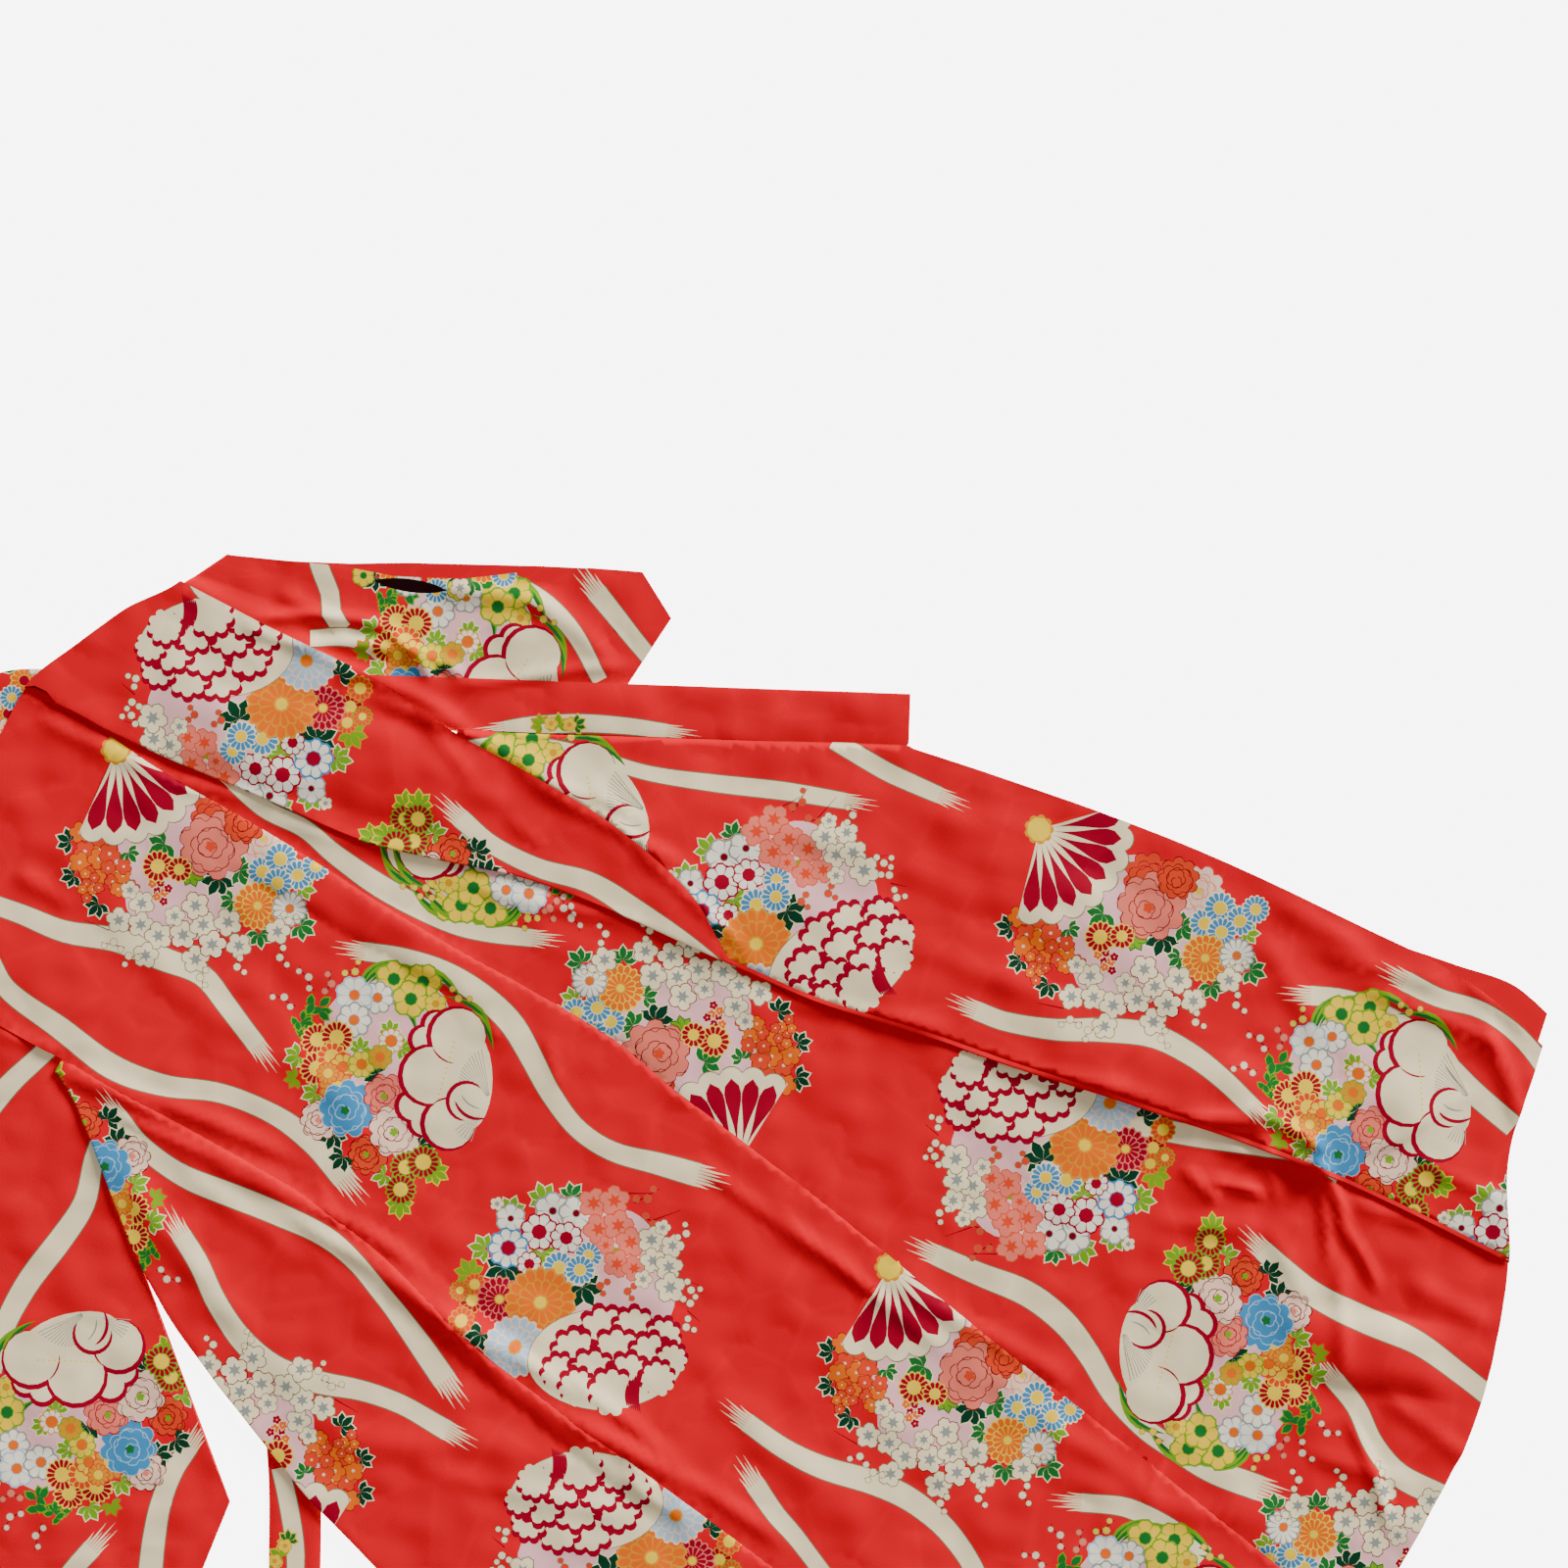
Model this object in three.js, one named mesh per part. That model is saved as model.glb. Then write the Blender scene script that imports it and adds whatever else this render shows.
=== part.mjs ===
// A kimono laid flat on its front with the back upwards. All sizes are millimetres and +Z is up.
// The tables below are in the garment's own plan: s runs down the centre back seam from the neck,
// and w runs across, towards the wearer's right sleeve.
import * as THREE from 'three';

// Cloth
const WALL = 1.2;
const PITCH = 1.8; // from the middle of one layer of cloth to the middle of the next
const FLOOR_LAYER = WALL / 2;
const FOLD_RADIUS = PITCH / 2;
const FOLD_LENGTH = Math.PI * FOLD_RADIUS;
const SEAM_GAP = 0.4;
const SMALLEST_COLUMN = 0.25;

// The body
const PLAN_ORIGIN = { w: -110, s: 800 };
const LIFT = 3.4; // the back stands this much higher where sleeves and collar lie under it
const LIFT_ENDS = { from: 560, to: 700 };
const SEAM_RISE = { plateau: 35, foot: 110 };
const SEAM_PAST_FOLD = 3; // lower down, the side seam runs along the pleat's edge
const PLEAT_CLEAR = 6;
const OKUMI_WIDTH = 150;
const COLLAR = { width: 42, wall: 2.4, seamGap: 0.8 };
const COLLAR_RINGS = 56;
const COLLAR_COLUMNS = 4;
const LEAST_PLEAT = 4;
const PLEAT_FALL = { shortest: 20, share: 0.8 }; // the top layer's way down from the pleat to its rest
const RIGHT_REST = { high: 4.6, from: 440, length: 120 };
const UPPER_FRONT = {
  end: { left: 250, right: 185 }, widest: { left: 230, right: 132 }, clear: 8, samples: 160, near: 9,
};
const OKUMI = { leftStart: 660, rightStart: 690, inset: 6, narrow: 0.5, grows: 180, shortBy: 4 };
const LEFT_FRONT_COLUMNS = { top: 6, turned: 3 };
const SLEEVE_COLUMNS = 7;
const SHOULDER_BULGE = 1.4;

// Lines that run down the garment: s, then w of each line
const CENTRE_SEAM = [
  { s: -30, w: 0 }, { s: 61, w: 4 }, { s: 127, w: -2 }, { s: 232, w: -6 }, { s: 378, w: -16 },
  { s: 548, w: -22 }, { s: 621, w: -36 }, { s: 719, w: -52 }, { s: 789, w: -64 },
  { s: 919, w: -90 }, { s: 1108, w: -124 }, { s: 1325, w: -165 },
];
const LEFT_SEAM = [
  { s: -30, w: -246 }, { s: 170, w: -246 }, { s: 310, w: -248 }, { s: 391, w: -251 },
  { s: 471, w: -264 }, { s: 579, w: -294 }, { s: 654, w: -308 }, { s: 740, w: -320 },
  { s: 848, w: -337 }, { s: 1325, w: -400 },
];
const RIGHT_SEAM = [
  { s: -30, w: 141 }, { s: 151, w: 142 }, { s: 249, w: 145 }, { s: 324, w: 137 },
  { s: 400, w: 136 }, { s: 481, w: 130 }, { s: 561, w: 109 }, { s: 608, w: 79 }, { s: 650, w: 60 },
  { s: 1325, w: 60 },
];
const PLEAT = [
  { s: -30, w: 5, depth: 52 }, { s: 107, w: 9, depth: 54 }, { s: 219, w: 19, depth: 55 },
  { s: 298, w: 25, depth: 54 }, { s: 359, w: 40, depth: 53 }, { s: 435, w: 61, depth: 52 },
  { s: 519, w: 71, depth: 48 }, { s: 597, w: 76, depth: 60 }, { s: 686, w: 82, depth: 62 },
  { s: 771, w: 98, depth: 46 }, { s: 850, w: 110, depth: 34 }, { s: 948, w: 128, depth: 26 },
  { s: 1112, w: 152, depth: 14 }, { s: 1325, w: 160, depth: 8 },
];
const RIGHT_OUTLINE = [
  { s: 657, w: 299 }, { s: 720, w: 310 }, { s: 824, w: 326 }, { s: 926, w: 337 },
  { s: 1058, w: 343 }, { s: 1129, w: 345 }, { s: 1180, w: 338 }, { s: 1240, w: 322 },
  { s: 1325, w: 300 },
];
const LEFT_OUTLINE = [
  { s: 172, w: -258, turned: 5 }, { s: 200, w: -276, turned: 14 }, { s: 321, w: -376, turned: 55 },
  { s: 466, w: -447, turned: 88 }, { s: 545, w: -477, turned: 90 }, { s: 700, w: -520, turned: 84 },
  { s: 900, w: -545, turned: 70 }, { s: 1100, w: -572, turned: 58 }, { s: 1325, w: -604, turned: 50 },
];
const OKUMI_SHOWS = [ // how far the right okumi reaches past the front's edge
  { s: 660, by: -2 }, { s: 1060, by: -2 }, { s: 1130, by: 6 }, { s: 1190, by: 22 }, { s: 1325, by: 16 },
];

// Lines that run across: w, then s of the edge
const TOP_EDGE = [
  { w: -260, s: -24 }, { w: -95, s: -20 }, { w: -76, s: -8 }, { w: -62, s: 0 }, { w: 0, s: 1 },
  { w: 22, s: 6 }, { w: 62, s: 25 }, { w: 102, s: 45 }, { w: 145, s: 74 }, { w: 260, s: 90 },
];
const HEM = [
  { w: -640, s: 1250 }, { w: -400, s: 1296 }, { w: -165, s: 1318 }, { w: -6, s: 1322 },
  { w: 60, s: 1314 }, { w: 150, s: 1286 }, { w: 231, s: 1243 }, { w: 324, s: 1225 }, { w: 380, s: 1215 },
];

// The straight seam between the right front and its collar, and the collar's run round the neck
const COLLAR_SEAM = { top: { w: 147, s: 345 }, end: { w: 299, s: 657 } };
const COLLAR_RUN = [
  { w: -640, s: 592, z: 1.2 }, { w: -545, s: 540, z: 1.2 }, { w: -447, s: 487, z: 1.2 },
  { w: -300, s: 385, z: 1.2 }, { w: -150, s: 200, z: 1.2 }, { w: -88, s: 60, z: 1.2 },
  { w: -66, s: 0, z: 1.2 }, { w: -38, s: -21, z: 1.2 }, { w: -10, s: -10, z: 1.2 },
  { w: 10, s: 22, z: 1.2 }, { w: 36, s: 72, z: 1.2 }, { w: 64, s: 126, z: 1.2 },
];
const COLLAR_RUN_RIGHT = [ // z along the straight part, from under the back to its square end
  { s: 190, z: 1.3 }, { s: 268, z: 4.6 }, { s: 345, z: 4.6 }, { s: 455, z: 4.6 },
  { s: 525, z: 1.2 }, { s: 590, z: 1.2 }, { s: 657, z: 1.2 },
];

// Sleeves: each row is a place along the cloth's length, from the shoulder fold to the sleeve's
// lower end, with the edge next to the body (in) and the far edge (out). recess draws the upper
// layer back where the cuff gapes. joins is the height at which the row meets the back's edge.
const SLEEVE_RIGHT = [
  { inW: 142.2, inS: 76, outW: 178, outS: 96, recess: 0, joins: 7.6 },
  { inW: 142.6, inS: 118, outW: 196, outS: 140, recess: 0, joins: 7.6 },
  { inW: 143.6, inS: 165, outW: 218, outS: 186, recess: 4, joins: 7.6 },
  { inW: 146, inS: 200, outW: 240, outS: 226, recess: 15, joins: 3.4 },
  { inW: 147, inS: 260, outW: 264, outS: 274, recess: 15, joins: 2.4 },
  { inW: 150, inS: 315, outW: 288, outS: 322, recess: 4, joins: 2.4 },
  { inW: 156, inS: 370, outW: 306, outS: 360, recess: 0, joins: 2.4 },
  { inW: 164, inS: 405, outW: 323, outS: 399, recess: 0, joins: 2.4 },
  { inW: 172, inS: 425, outW: 301, outS: 437, recess: 0, joins: 2.4 },
];
const SLEEVE_LEFT = [
  { inW: -246.6, inS: -20, outW: -400, outS: -72, recess: 0, joins: 5.8 },
  { inW: -246.6, inS: 60, outW: -446, outS: -30, recess: 0, joins: 5.8 },
  { inW: -246.6, inS: 120, outW: -482, outS: 20, recess: 0, joins: 5.8 },
  { inW: -247, inS: 166, outW: -520, outS: 78, recess: 0, joins: 2.4 },
  { inW: -330, inS: 264, outW: -560, outS: 128, recess: 0, joins: 2.4 },
  { inW: -415, inS: 360, outW: -600, outS: 168, recess: 0, joins: 2.4 },
  { inW: -501, inS: 457, outW: -645, outS: 190, recess: 0, joins: 2.4 },
  { inW: -570, inS: 464, outW: -690, outS: 203, recess: 0, joins: 2.4 },
  { inW: -690, inS: 470, outW: -735, outS: 210, recess: 0, joins: 2.4 },
  { inW: -750, inS: 474, outW: -762, outS: 222, recess: 0, joins: 2.4 },
];
const SLEEVE_FALL = 0.35; // share of the sleeve's width in which it falls from the seam to its rest

// Largest swells, where the cloth stands off the surface: centre, direction of the ridge in
// degrees from the s axis towards w, length, width and height
const SWELLS = [
  { w: 40, s: 1215, turn: 20, length: 190, width: 70, height: 7 },
  { w: 205, s: 1130, turn: 62, length: 170, width: 62, height: 6 },
  { w: 158, s: 985, turn: 12, length: 300, width: 90, height: 4 },
  { w: 124, s: 650, turn: 14, length: 320, width: 96, height: 2.4 },
  { w: 74, s: 250, turn: 14, length: 330, width: 84, height: 4 },
  { w: 240, s: 800, turn: 4, length: 240, width: 80, height: 3 },
  { w: -300, s: 620, turn: -12, length: 420, width: 46, height: 4 },
  { w: -372, s: 1080, turn: -8, length: 320, width: 60, height: 4 },
  { w: -30, s: 330, turn: -2, length: 330, width: 44, height: 3 },
];

// Rows and columns of the pieces
const ROW_START = -20;
const ROW_STEP = 50;
const SMALLEST_ROW = 0.8;
const LAYER_STEPS = 5;
const PLEAT_STEPS = 4;
const FOLD_STEPS = 3;

const silk = (colour) => new THREE.MeshStandardMaterial({ color: colour, roughness: 0.62, metalness: 0 });
const RED = 0xd8142a;
const kimono = new THREE.Group();

const lerp = (a, b, t) => a + (b - a) * t;
const clamp01 = (t) => Math.min(1, Math.max(0, t));
const smooth = (t) => clamp01(t) ** 2 * (3 - 2 * clamp01(t));

// A smooth line through a table's rows: a cubic whose slope at each row is the mean of its sides
function read(table, key, x, by = 's') {
  const last = table.length - 1;
  const slope = (i) => {
    const a = table[Math.max(0, i - 1)];
    const b = table[Math.min(last, i + 1)];
    return (b[key] - a[key]) / (b[by] - a[by]);
  };
  let i = 0;
  while (i < last - 1 && x > table[i + 1][by]) i += 1;
  const a = table[i];
  const b = table[i + 1];
  const step = b[by] - a[by];
  const t = clamp01((x - a[by]) / step);
  const turned = t * t * (3 - 2 * t);
  const lead = step * t * (1 - t);
  return lerp(a[key], b[key], turned) + lead * ((1 - t) * slope(i) - t * slope(i + 1));
}

const topEdge = (w) => read(TOP_EDGE, 's', w, 'w');
const hem = (w) => read(HEM, 's', w, 'w');
const lift = (s) => LIFT * (1 - smooth((s - LIFT_ENDS.from) / (LIFT_ENDS.to - LIFT_ENDS.from)));

// Height of the swells at a place: a round-topped ridge that fades out at its ends
function swell(w, s) {
  let height = 0;
  for (const ridge of SWELLS) {
    const turn = THREE.MathUtils.degToRad(ridge.turn);
    const along = (s - ridge.s) * Math.cos(turn) + (w - ridge.w) * Math.sin(turn);
    const across = (w - ridge.w) * Math.cos(turn) - (s - ridge.s) * Math.sin(turn);
    const reach = clamp01(1 - (2 * along / ridge.length) ** 2);
    const crest = clamp01(1 - (2 * across / ridge.width) ** 2);
    height += ridge.height * smooth(reach) * smooth(crest);
  }
  return height;
}

// A place in the garment's plan, at a height, as a point of the part
const place = (w, s, z) => new THREE.Vector3(w - PLAN_ORIGIN.w, PLAN_ORIGIN.s - s, z);

// A closed wall of cloth: points[row][column] is the middle of the cloth
function wall(name, points, thickness = WALL) {
  const rows = points.length;
  const columns = points[0].length;
  const normal = (i, j) => {
    const down = points[Math.min(rows - 1, i + 1)][j].clone().sub(points[Math.max(0, i - 1)][j]);
    const across = points[i][Math.min(columns - 1, j + 1)].clone().sub(points[i][Math.max(0, j - 1)]);
    return down.cross(across).normalize();
  };
  const vertices = [];
  for (const side of [1, -1]) {
    for (let i = 0; i < rows; i += 1) {
      for (let j = 0; j < columns; j += 1) {
        vertices.push(...points[i][j].clone().addScaledVector(normal(i, j), side * thickness / 2));
      }
    }
  }
  const upper = (i, j) => i * columns + j;
  const lower = (i, j) => rows * columns + i * columns + j;
  const faces = [];
  const quad = (a, b, c, d) => faces.push(a, b, c, a, c, d);
  for (let i = 0; i < rows - 1; i += 1) {
    for (let j = 0; j < columns - 1; j += 1) {
      quad(upper(i, j), upper(i + 1, j), upper(i + 1, j + 1), upper(i, j + 1));
      quad(lower(i, j), lower(i, j + 1), lower(i + 1, j + 1), lower(i + 1, j));
    }
    quad(upper(i, 0), lower(i, 0), lower(i + 1, 0), upper(i + 1, 0));
    const end = columns - 1;
    quad(upper(i, end), upper(i + 1, end), lower(i + 1, end), lower(i, end));
  }
  for (let j = 0; j < columns - 1; j += 1) {
    const end = rows - 1;
    quad(upper(0, j), upper(0, j + 1), lower(0, j + 1), lower(0, j));
    quad(upper(end, j), lower(end, j), lower(end, j + 1), upper(end, j + 1));
  }
  const volume = signedVolume(vertices, faces);
  if (volume < 0) faces.reverse();
  const geometry = new THREE.BufferGeometry();
  geometry.setAttribute('position', new THREE.Float32BufferAttribute(vertices, 3));
  geometry.setIndex(faces);
  geometry.computeVertexNormals();
  const mesh = new THREE.Mesh(geometry, silk(RED));
  mesh.name = name;
  kimono.add(mesh);
}

function signedVolume(vertices, faces) {
  const at = (k) => new THREE.Vector3().fromArray(vertices, 3 * k);
  let volume = 0;
  for (let f = 0; f < faces.length; f += 3) {
    volume += at(faces[f]).dot(at(faces[f + 1]).cross(at(faces[f + 2]))) / 6;
  }
  return volume;
}

// Rows of points on lines of s that all the body's pieces share, so that seams meet row by row.
// Each column has its own two ends, and the rows beyond an end crowd against it.
function rowsBetween(columns, endsOf, pointOf) {
  const ends = Array.from({ length: columns }, (_, j) => endsOf(j));
  const first = Math.min(...ends.map(({ from }) => from));
  const last = Math.max(...ends.map(({ to }) => to));
  const lines = [first];
  for (let s = ROW_START; s < last; s += ROW_STEP) {
    if (s > first) lines.push(s);
  }
  lines.push(last);
  return lines.map((line, i) => ends.map(({ from, to }, j) => {
    const latest = to - SMALLEST_ROW * (lines.length - 1 - i);
    return pointOf(j, Math.max(from + SMALLEST_ROW * i, Math.min(line, latest)));
  }));
}

// The right side is one chain of cloth across the garment: a lower layer from the centre seam,
// a fold under the pleat, a middle layer back to the pleat's edge, a fold, and the top layer.
function rightChain(s) {
  const centre = read(CENTRE_SEAM, 'w', s);
  const edge = Math.max(read(PLEAT, 'w', s), centre + LEAST_PLEAT);
  const depth = read(PLEAT, 'depth', s);
  const lower = edge + depth - centre;
  const middle = lower + FOLD_LENGTH;
  const turn = middle + depth;
  const top = turn + FOLD_LENGTH;
  const seam = top + Math.max(SEAM_PAST_FOLD, read(RIGHT_SEAM, 'w', s) - edge);
  return { centre, edge, depth, lower, middle, turn, top, seam };
}

function rightOuter(s) {
  if (s < COLLAR_SEAM.end.s) {
    const t = (s - COLLAR_SEAM.top.s) / (COLLAR_SEAM.end.s - COLLAR_SEAM.top.s);
    return lerp(COLLAR_SEAM.top.w, COLLAR_SEAM.end.w, t);
  }
  return read(RIGHT_OUTLINE, 'w', s);
}

// Height at which the right front comes to rest, over the sleeve, the collar or the okumi
const rightRest = (s) => (
  lerp(RIGHT_REST.high, FLOOR_LAYER + PITCH, smooth((s - RIGHT_REST.from) / RIGHT_REST.length))
);

// The place on the chain at a distance along the cloth from the centre seam
function onChain(chain, distance, s) {
  const base = FLOOR_LAYER + lift(s);
  if (distance <= chain.lower) return { w: chain.centre + distance, z: base };
  if (distance <= chain.middle) {
    const angle = (distance - chain.lower) / FOLD_RADIUS;
    const w = chain.edge + chain.depth + FOLD_RADIUS * Math.sin(angle);
    return { w, z: base + FOLD_RADIUS * (1 - Math.cos(angle)) };
  }
  if (distance <= chain.turn) {
    return { w: chain.edge + chain.depth - (distance - chain.middle), z: base + PITCH };
  }
  if (distance <= chain.top) {
    const angle = (distance - chain.turn) / FOLD_RADIUS;
    const w = chain.edge - FOLD_RADIUS * Math.sin(angle);
    return { w, z: base + PITCH + FOLD_RADIUS * (1 - Math.cos(angle)) };
  }
  const w = chain.edge + distance - chain.top;
  const start = Math.max(chain.edge + chain.depth + PLEAT_CLEAR, chain.edge + chain.seam - chain.top);
  const reach = Math.max(PLEAT_FALL.shortest, PLEAT_FALL.share * (rightOuter(s) - start));
  const high = base + 2 * PITCH;
  return { w, z: s < COLLAR_SEAM.top.s - 2 ? high : lerp(high, rightRest(s), smooth((w - start) / reach)) };
}

const spread = (from, to, steps) => Array.from({ length: steps }, (_, k) => lerp(from, to, (k + 1) / steps));

// Distances of the columns along the chain. The three layers of the pleat have theirs at the same
// places across the garment, so that a swell lifts them all alike.
function topStops(chain, outer) {
  const pleatEnd = chain.top + chain.depth;
  return [...spread(chain.top, pleatEnd, PLEAT_STEPS), ...spread(pleatEnd, outer, LAYER_STEPS)];
}

function chainStops(chain, outer) {
  const below = chain.edge - chain.centre;
  return [
    0,
    ...spread(0, below, LAYER_STEPS),
    ...spread(below, chain.lower, PLEAT_STEPS),
    ...spread(chain.lower, chain.middle, FOLD_STEPS),
    ...spread(chain.middle, chain.turn, PLEAT_STEPS),
    ...spread(chain.turn, chain.top, FOLD_STEPS),
    ...topStops(chain, outer),
  ];
}

function chainPoint(s, distance) {
  const { w, z } = onChain(rightChain(s), distance, s);
  return place(w, s, z + swell(w, s));
}

function backRight() {
  const columns = chainStops(rightChain(100), 1000).length;
  const distanceAt = (j, s) => {
    const chain = rightChain(s);
    const end = chain.seam - SEAM_GAP / 2;
    const stop = chainStops(chain, Math.max(chain.seam, chain.top + chain.depth + 1))[j];
    const first = SEAM_GAP / 2 + SMALLEST_COLUMN * j;
    return Math.max(first, Math.min(stop, end - SMALLEST_COLUMN * (columns - 1 - j)));
  };
  const endsOf = (j) => {
    const wTop = onChain(rightChain(60), distanceAt(j, 60), 60).w;
    const wEnd = onChain(rightChain(1300), distanceAt(j, 1300), 1300).w;
    return { from: topEdge(wTop), to: hem(wEnd) };
  };
  wall('back_right', rowsBetween(columns, endsOf, (j, s) => chainPoint(s, distanceAt(j, s))));
}

function frontRight() {
  const columns = 1 + PLEAT_STEPS + LAYER_STEPS;
  const distanceAt = (j, s) => {
    const chain = rightChain(s);
    const first = chain.seam + SEAM_GAP / 2;
    const outer = chain.top + rightOuter(s) - chain.edge;
    const stop = [first, ...topStops(chain, outer)][j];
    return Math.max(stop, first + SMALLEST_COLUMN * j);
  };
  const endsOf = (j) => {
    const wEnd = onChain(rightChain(1250), distanceAt(j, 1250), 1250).w;
    return { from: COLLAR_SEAM.top.s + 4, to: hem(wEnd) };
  };
  wall('front_right', rowsBetween(columns, endsOf, (j, s) => chainPoint(s, distanceAt(j, s))));
}

// How far the cloth has risen on its way to the left side seam, where the front lies under it
const seamRise = (gap) => smooth((SEAM_RISE.foot - gap) / (SEAM_RISE.foot - SEAM_RISE.plateau));

function backLeft() {
  const columns = 2 * LAYER_STEPS + 1;
  const acrossAt = (j, s) => {
    const centre = read(CENTRE_SEAM, 'w', s) - SEAM_GAP / 2;
    const side = read(LEFT_SEAM, 'w', s) + SEAM_GAP / 2;
    return { w: lerp(centre, side, j / (columns - 1)), side };
  };
  const endsOf = (j) => ({ from: topEdge(acrossAt(j, 0).w), to: hem(acrossAt(j, 1310).w) });
  wall('back_left', rowsBetween(columns, endsOf, (j, s) => {
    const { w, side } = acrossAt(j, s);
    const z = FLOOR_LAYER + lift(s) + PITCH * seamRise(w - side);
    return place(w, s, z + swell(w, s));
  }));
}

function frontLeft() {
  const { top } = LEFT_FRONT_COLUMNS;
  const columns = top + 1 + FOLD_STEPS + LEFT_FRONT_COLUMNS.turned;
  const pointAt = (j, s) => {
    const seam = read(LEFT_SEAM, 'w', s) - SEAM_GAP / 2;
    const fold = read(LEFT_OUTLINE, 'w', s) + FOLD_RADIUS;
    const base = FLOOR_LAYER + lift(s);
    if (j <= top) return { w: lerp(seam, fold, j / top), z: base + PITCH };
    if (j <= top + FOLD_STEPS) {
      const angle = Math.PI * (j - top) / FOLD_STEPS;
      return { w: fold - FOLD_RADIUS * Math.sin(angle), z: base + FOLD_RADIUS * (1 + Math.cos(angle)) };
    }
    const turned = read(LEFT_OUTLINE, 'turned', s);
    return { w: fold + turned * (j - top - FOLD_STEPS) / (columns - 1 - top - FOLD_STEPS), z: base };
  };
  const endsOf = (j) => ({ from: LEFT_OUTLINE[0].s, to: hem(pointAt(j, 1280).w) });
  wall('front_left', rowsBetween(columns, endsOf, (j, s) => {
    const { w, z } = pointAt(j, s);
    return place(w, s, z + swell(w, s));
  }));
}

// Flat pieces that lie on the surface under the others, between two lines
function flatPiece(name, columns, inner, outer, ends) {
  const endsOf = (j) => ends(j / (columns - 1));
  wall(name, rowsBetween(columns, endsOf, (j, s) => {
    const w = lerp(inner(s), outer(s), j / (columns - 1));
    return place(w, s, FLOOR_LAYER);
  }));
}

function okumi() {
  const { leftStart, rightStart, inset } = OKUMI;
  const widthAt = (s, from) => lerp(OKUMI.narrow, 1, smooth((s - from) / OKUMI.grows)) * OKUMI_WIDTH;
  const turnedEdge = (s) => read(LEFT_OUTLINE, 'w', s) + FOLD_RADIUS + read(LEFT_OUTLINE, 'turned', s);
  flatPiece(
    'okumi_left', 4,
    (s) => turnedEdge(s) + WALL,
    (s) => turnedEdge(s) + WALL + widthAt(s, leftStart),
    (t) => ({ from: leftStart, to: hem(lerp(-540, -390, t)) }),
  );
  flatPiece(
    'okumi_right', 5,
    (s) => Math.max(
      read(RIGHT_OUTLINE, 'w', s) - inset - widthAt(s, rightStart),
      read(PLEAT, 'w', s) + read(PLEAT, 'depth', s) + PLEAT_CLEAR,
    ),
    (s) => read(RIGHT_OUTLINE, 'w', s) + read(OKUMI_SHOWS, 'by', s),
    (t) => ({ from: rightStart, to: hem(lerp(190, 330, t)) - OKUMI.shortBy }),
  );
}

// The collar's middle line, from its left end round the neck to its square right end
function collarLine() {
  const down = new THREE.Vector2(COLLAR_SEAM.end.w - COLLAR_SEAM.top.w, COLLAR_SEAM.end.s - COLLAR_SEAM.top.s);
  down.normalize();
  const aside = COLLAR.seamGap + COLLAR.width / 2;
  const straight = COLLAR_RUN_RIGHT.map(({ s, z }) => {
    const w = COLLAR_SEAM.top.w + (s - COLLAR_SEAM.top.s) * down.x / down.y;
    return place(w + aside * down.y, s - aside * down.x, z);
  });
  return new THREE.CatmullRomCurve3([...COLLAR_RUN.map(({ w, s, z }) => place(w, s, z)), ...straight]);
}

function collar() {
  const line = collarLine();
  const rings = COLLAR_RINGS;
  const across = COLLAR_COLUMNS;
  const points = [];
  for (let i = 0; i <= rings; i += 1) {
    const middle = line.getPointAt(i / rings);
    middle.z = Math.max(COLLAR.wall / 2, middle.z);
    const along = line.getTangentAt(i / rings);
    const side = new THREE.Vector3(-along.y, along.x, 0).normalize();
    const row = [];
    for (let j = 0; j <= across; j += 1) {
      row.push(middle.clone().addScaledVector(side, COLLAR.width * (j / across - 0.5)));
    }
    points.push(row);
  }
  wall('collar', points, COLLAR.wall);
}

// The fronts' upper parts, which lie under the back between the collar and the armhole
function upperFronts() {
  const { end, widest } = UPPER_FRONT;
  const line = collarLine().getSpacedPoints(UPPER_FRONT.samples);
  const clear = COLLAR.width / 2 + UPPER_FRONT.clear;
  const collarAt = (s, side) => {
    const near = line.filter((p) => (
      Math.abs(PLAN_ORIGIN.s - p.y - s) < UPPER_FRONT.near && side * (p.x + PLAN_ORIGIN.w) > 0
    ));
    return Math.max(...near.map((p) => side * (p.x + PLAN_ORIGIN.w))) + clear;
  };
  flatPiece(
    'front_left_upper', 4,
    (s) => -Math.min(widest.left, collarAt(s, -1)),
    (s) => read(LEFT_SEAM, 'w', s) + SEAM_GAP,
    (t) => ({ from: topEdge(lerp(-110, -246, t)), to: end.left }),
  );
  flatPiece(
    'front_right_upper', 3,
    (s) => Math.min(widest.right, collarAt(s, 1)),
    (s) => read(RIGHT_SEAM, 'w', s) - SEAM_GAP,
    (t) => ({ from: topEdge(lerp(85, 139, t)) + 2, to: end.right }),
  );
}

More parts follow.
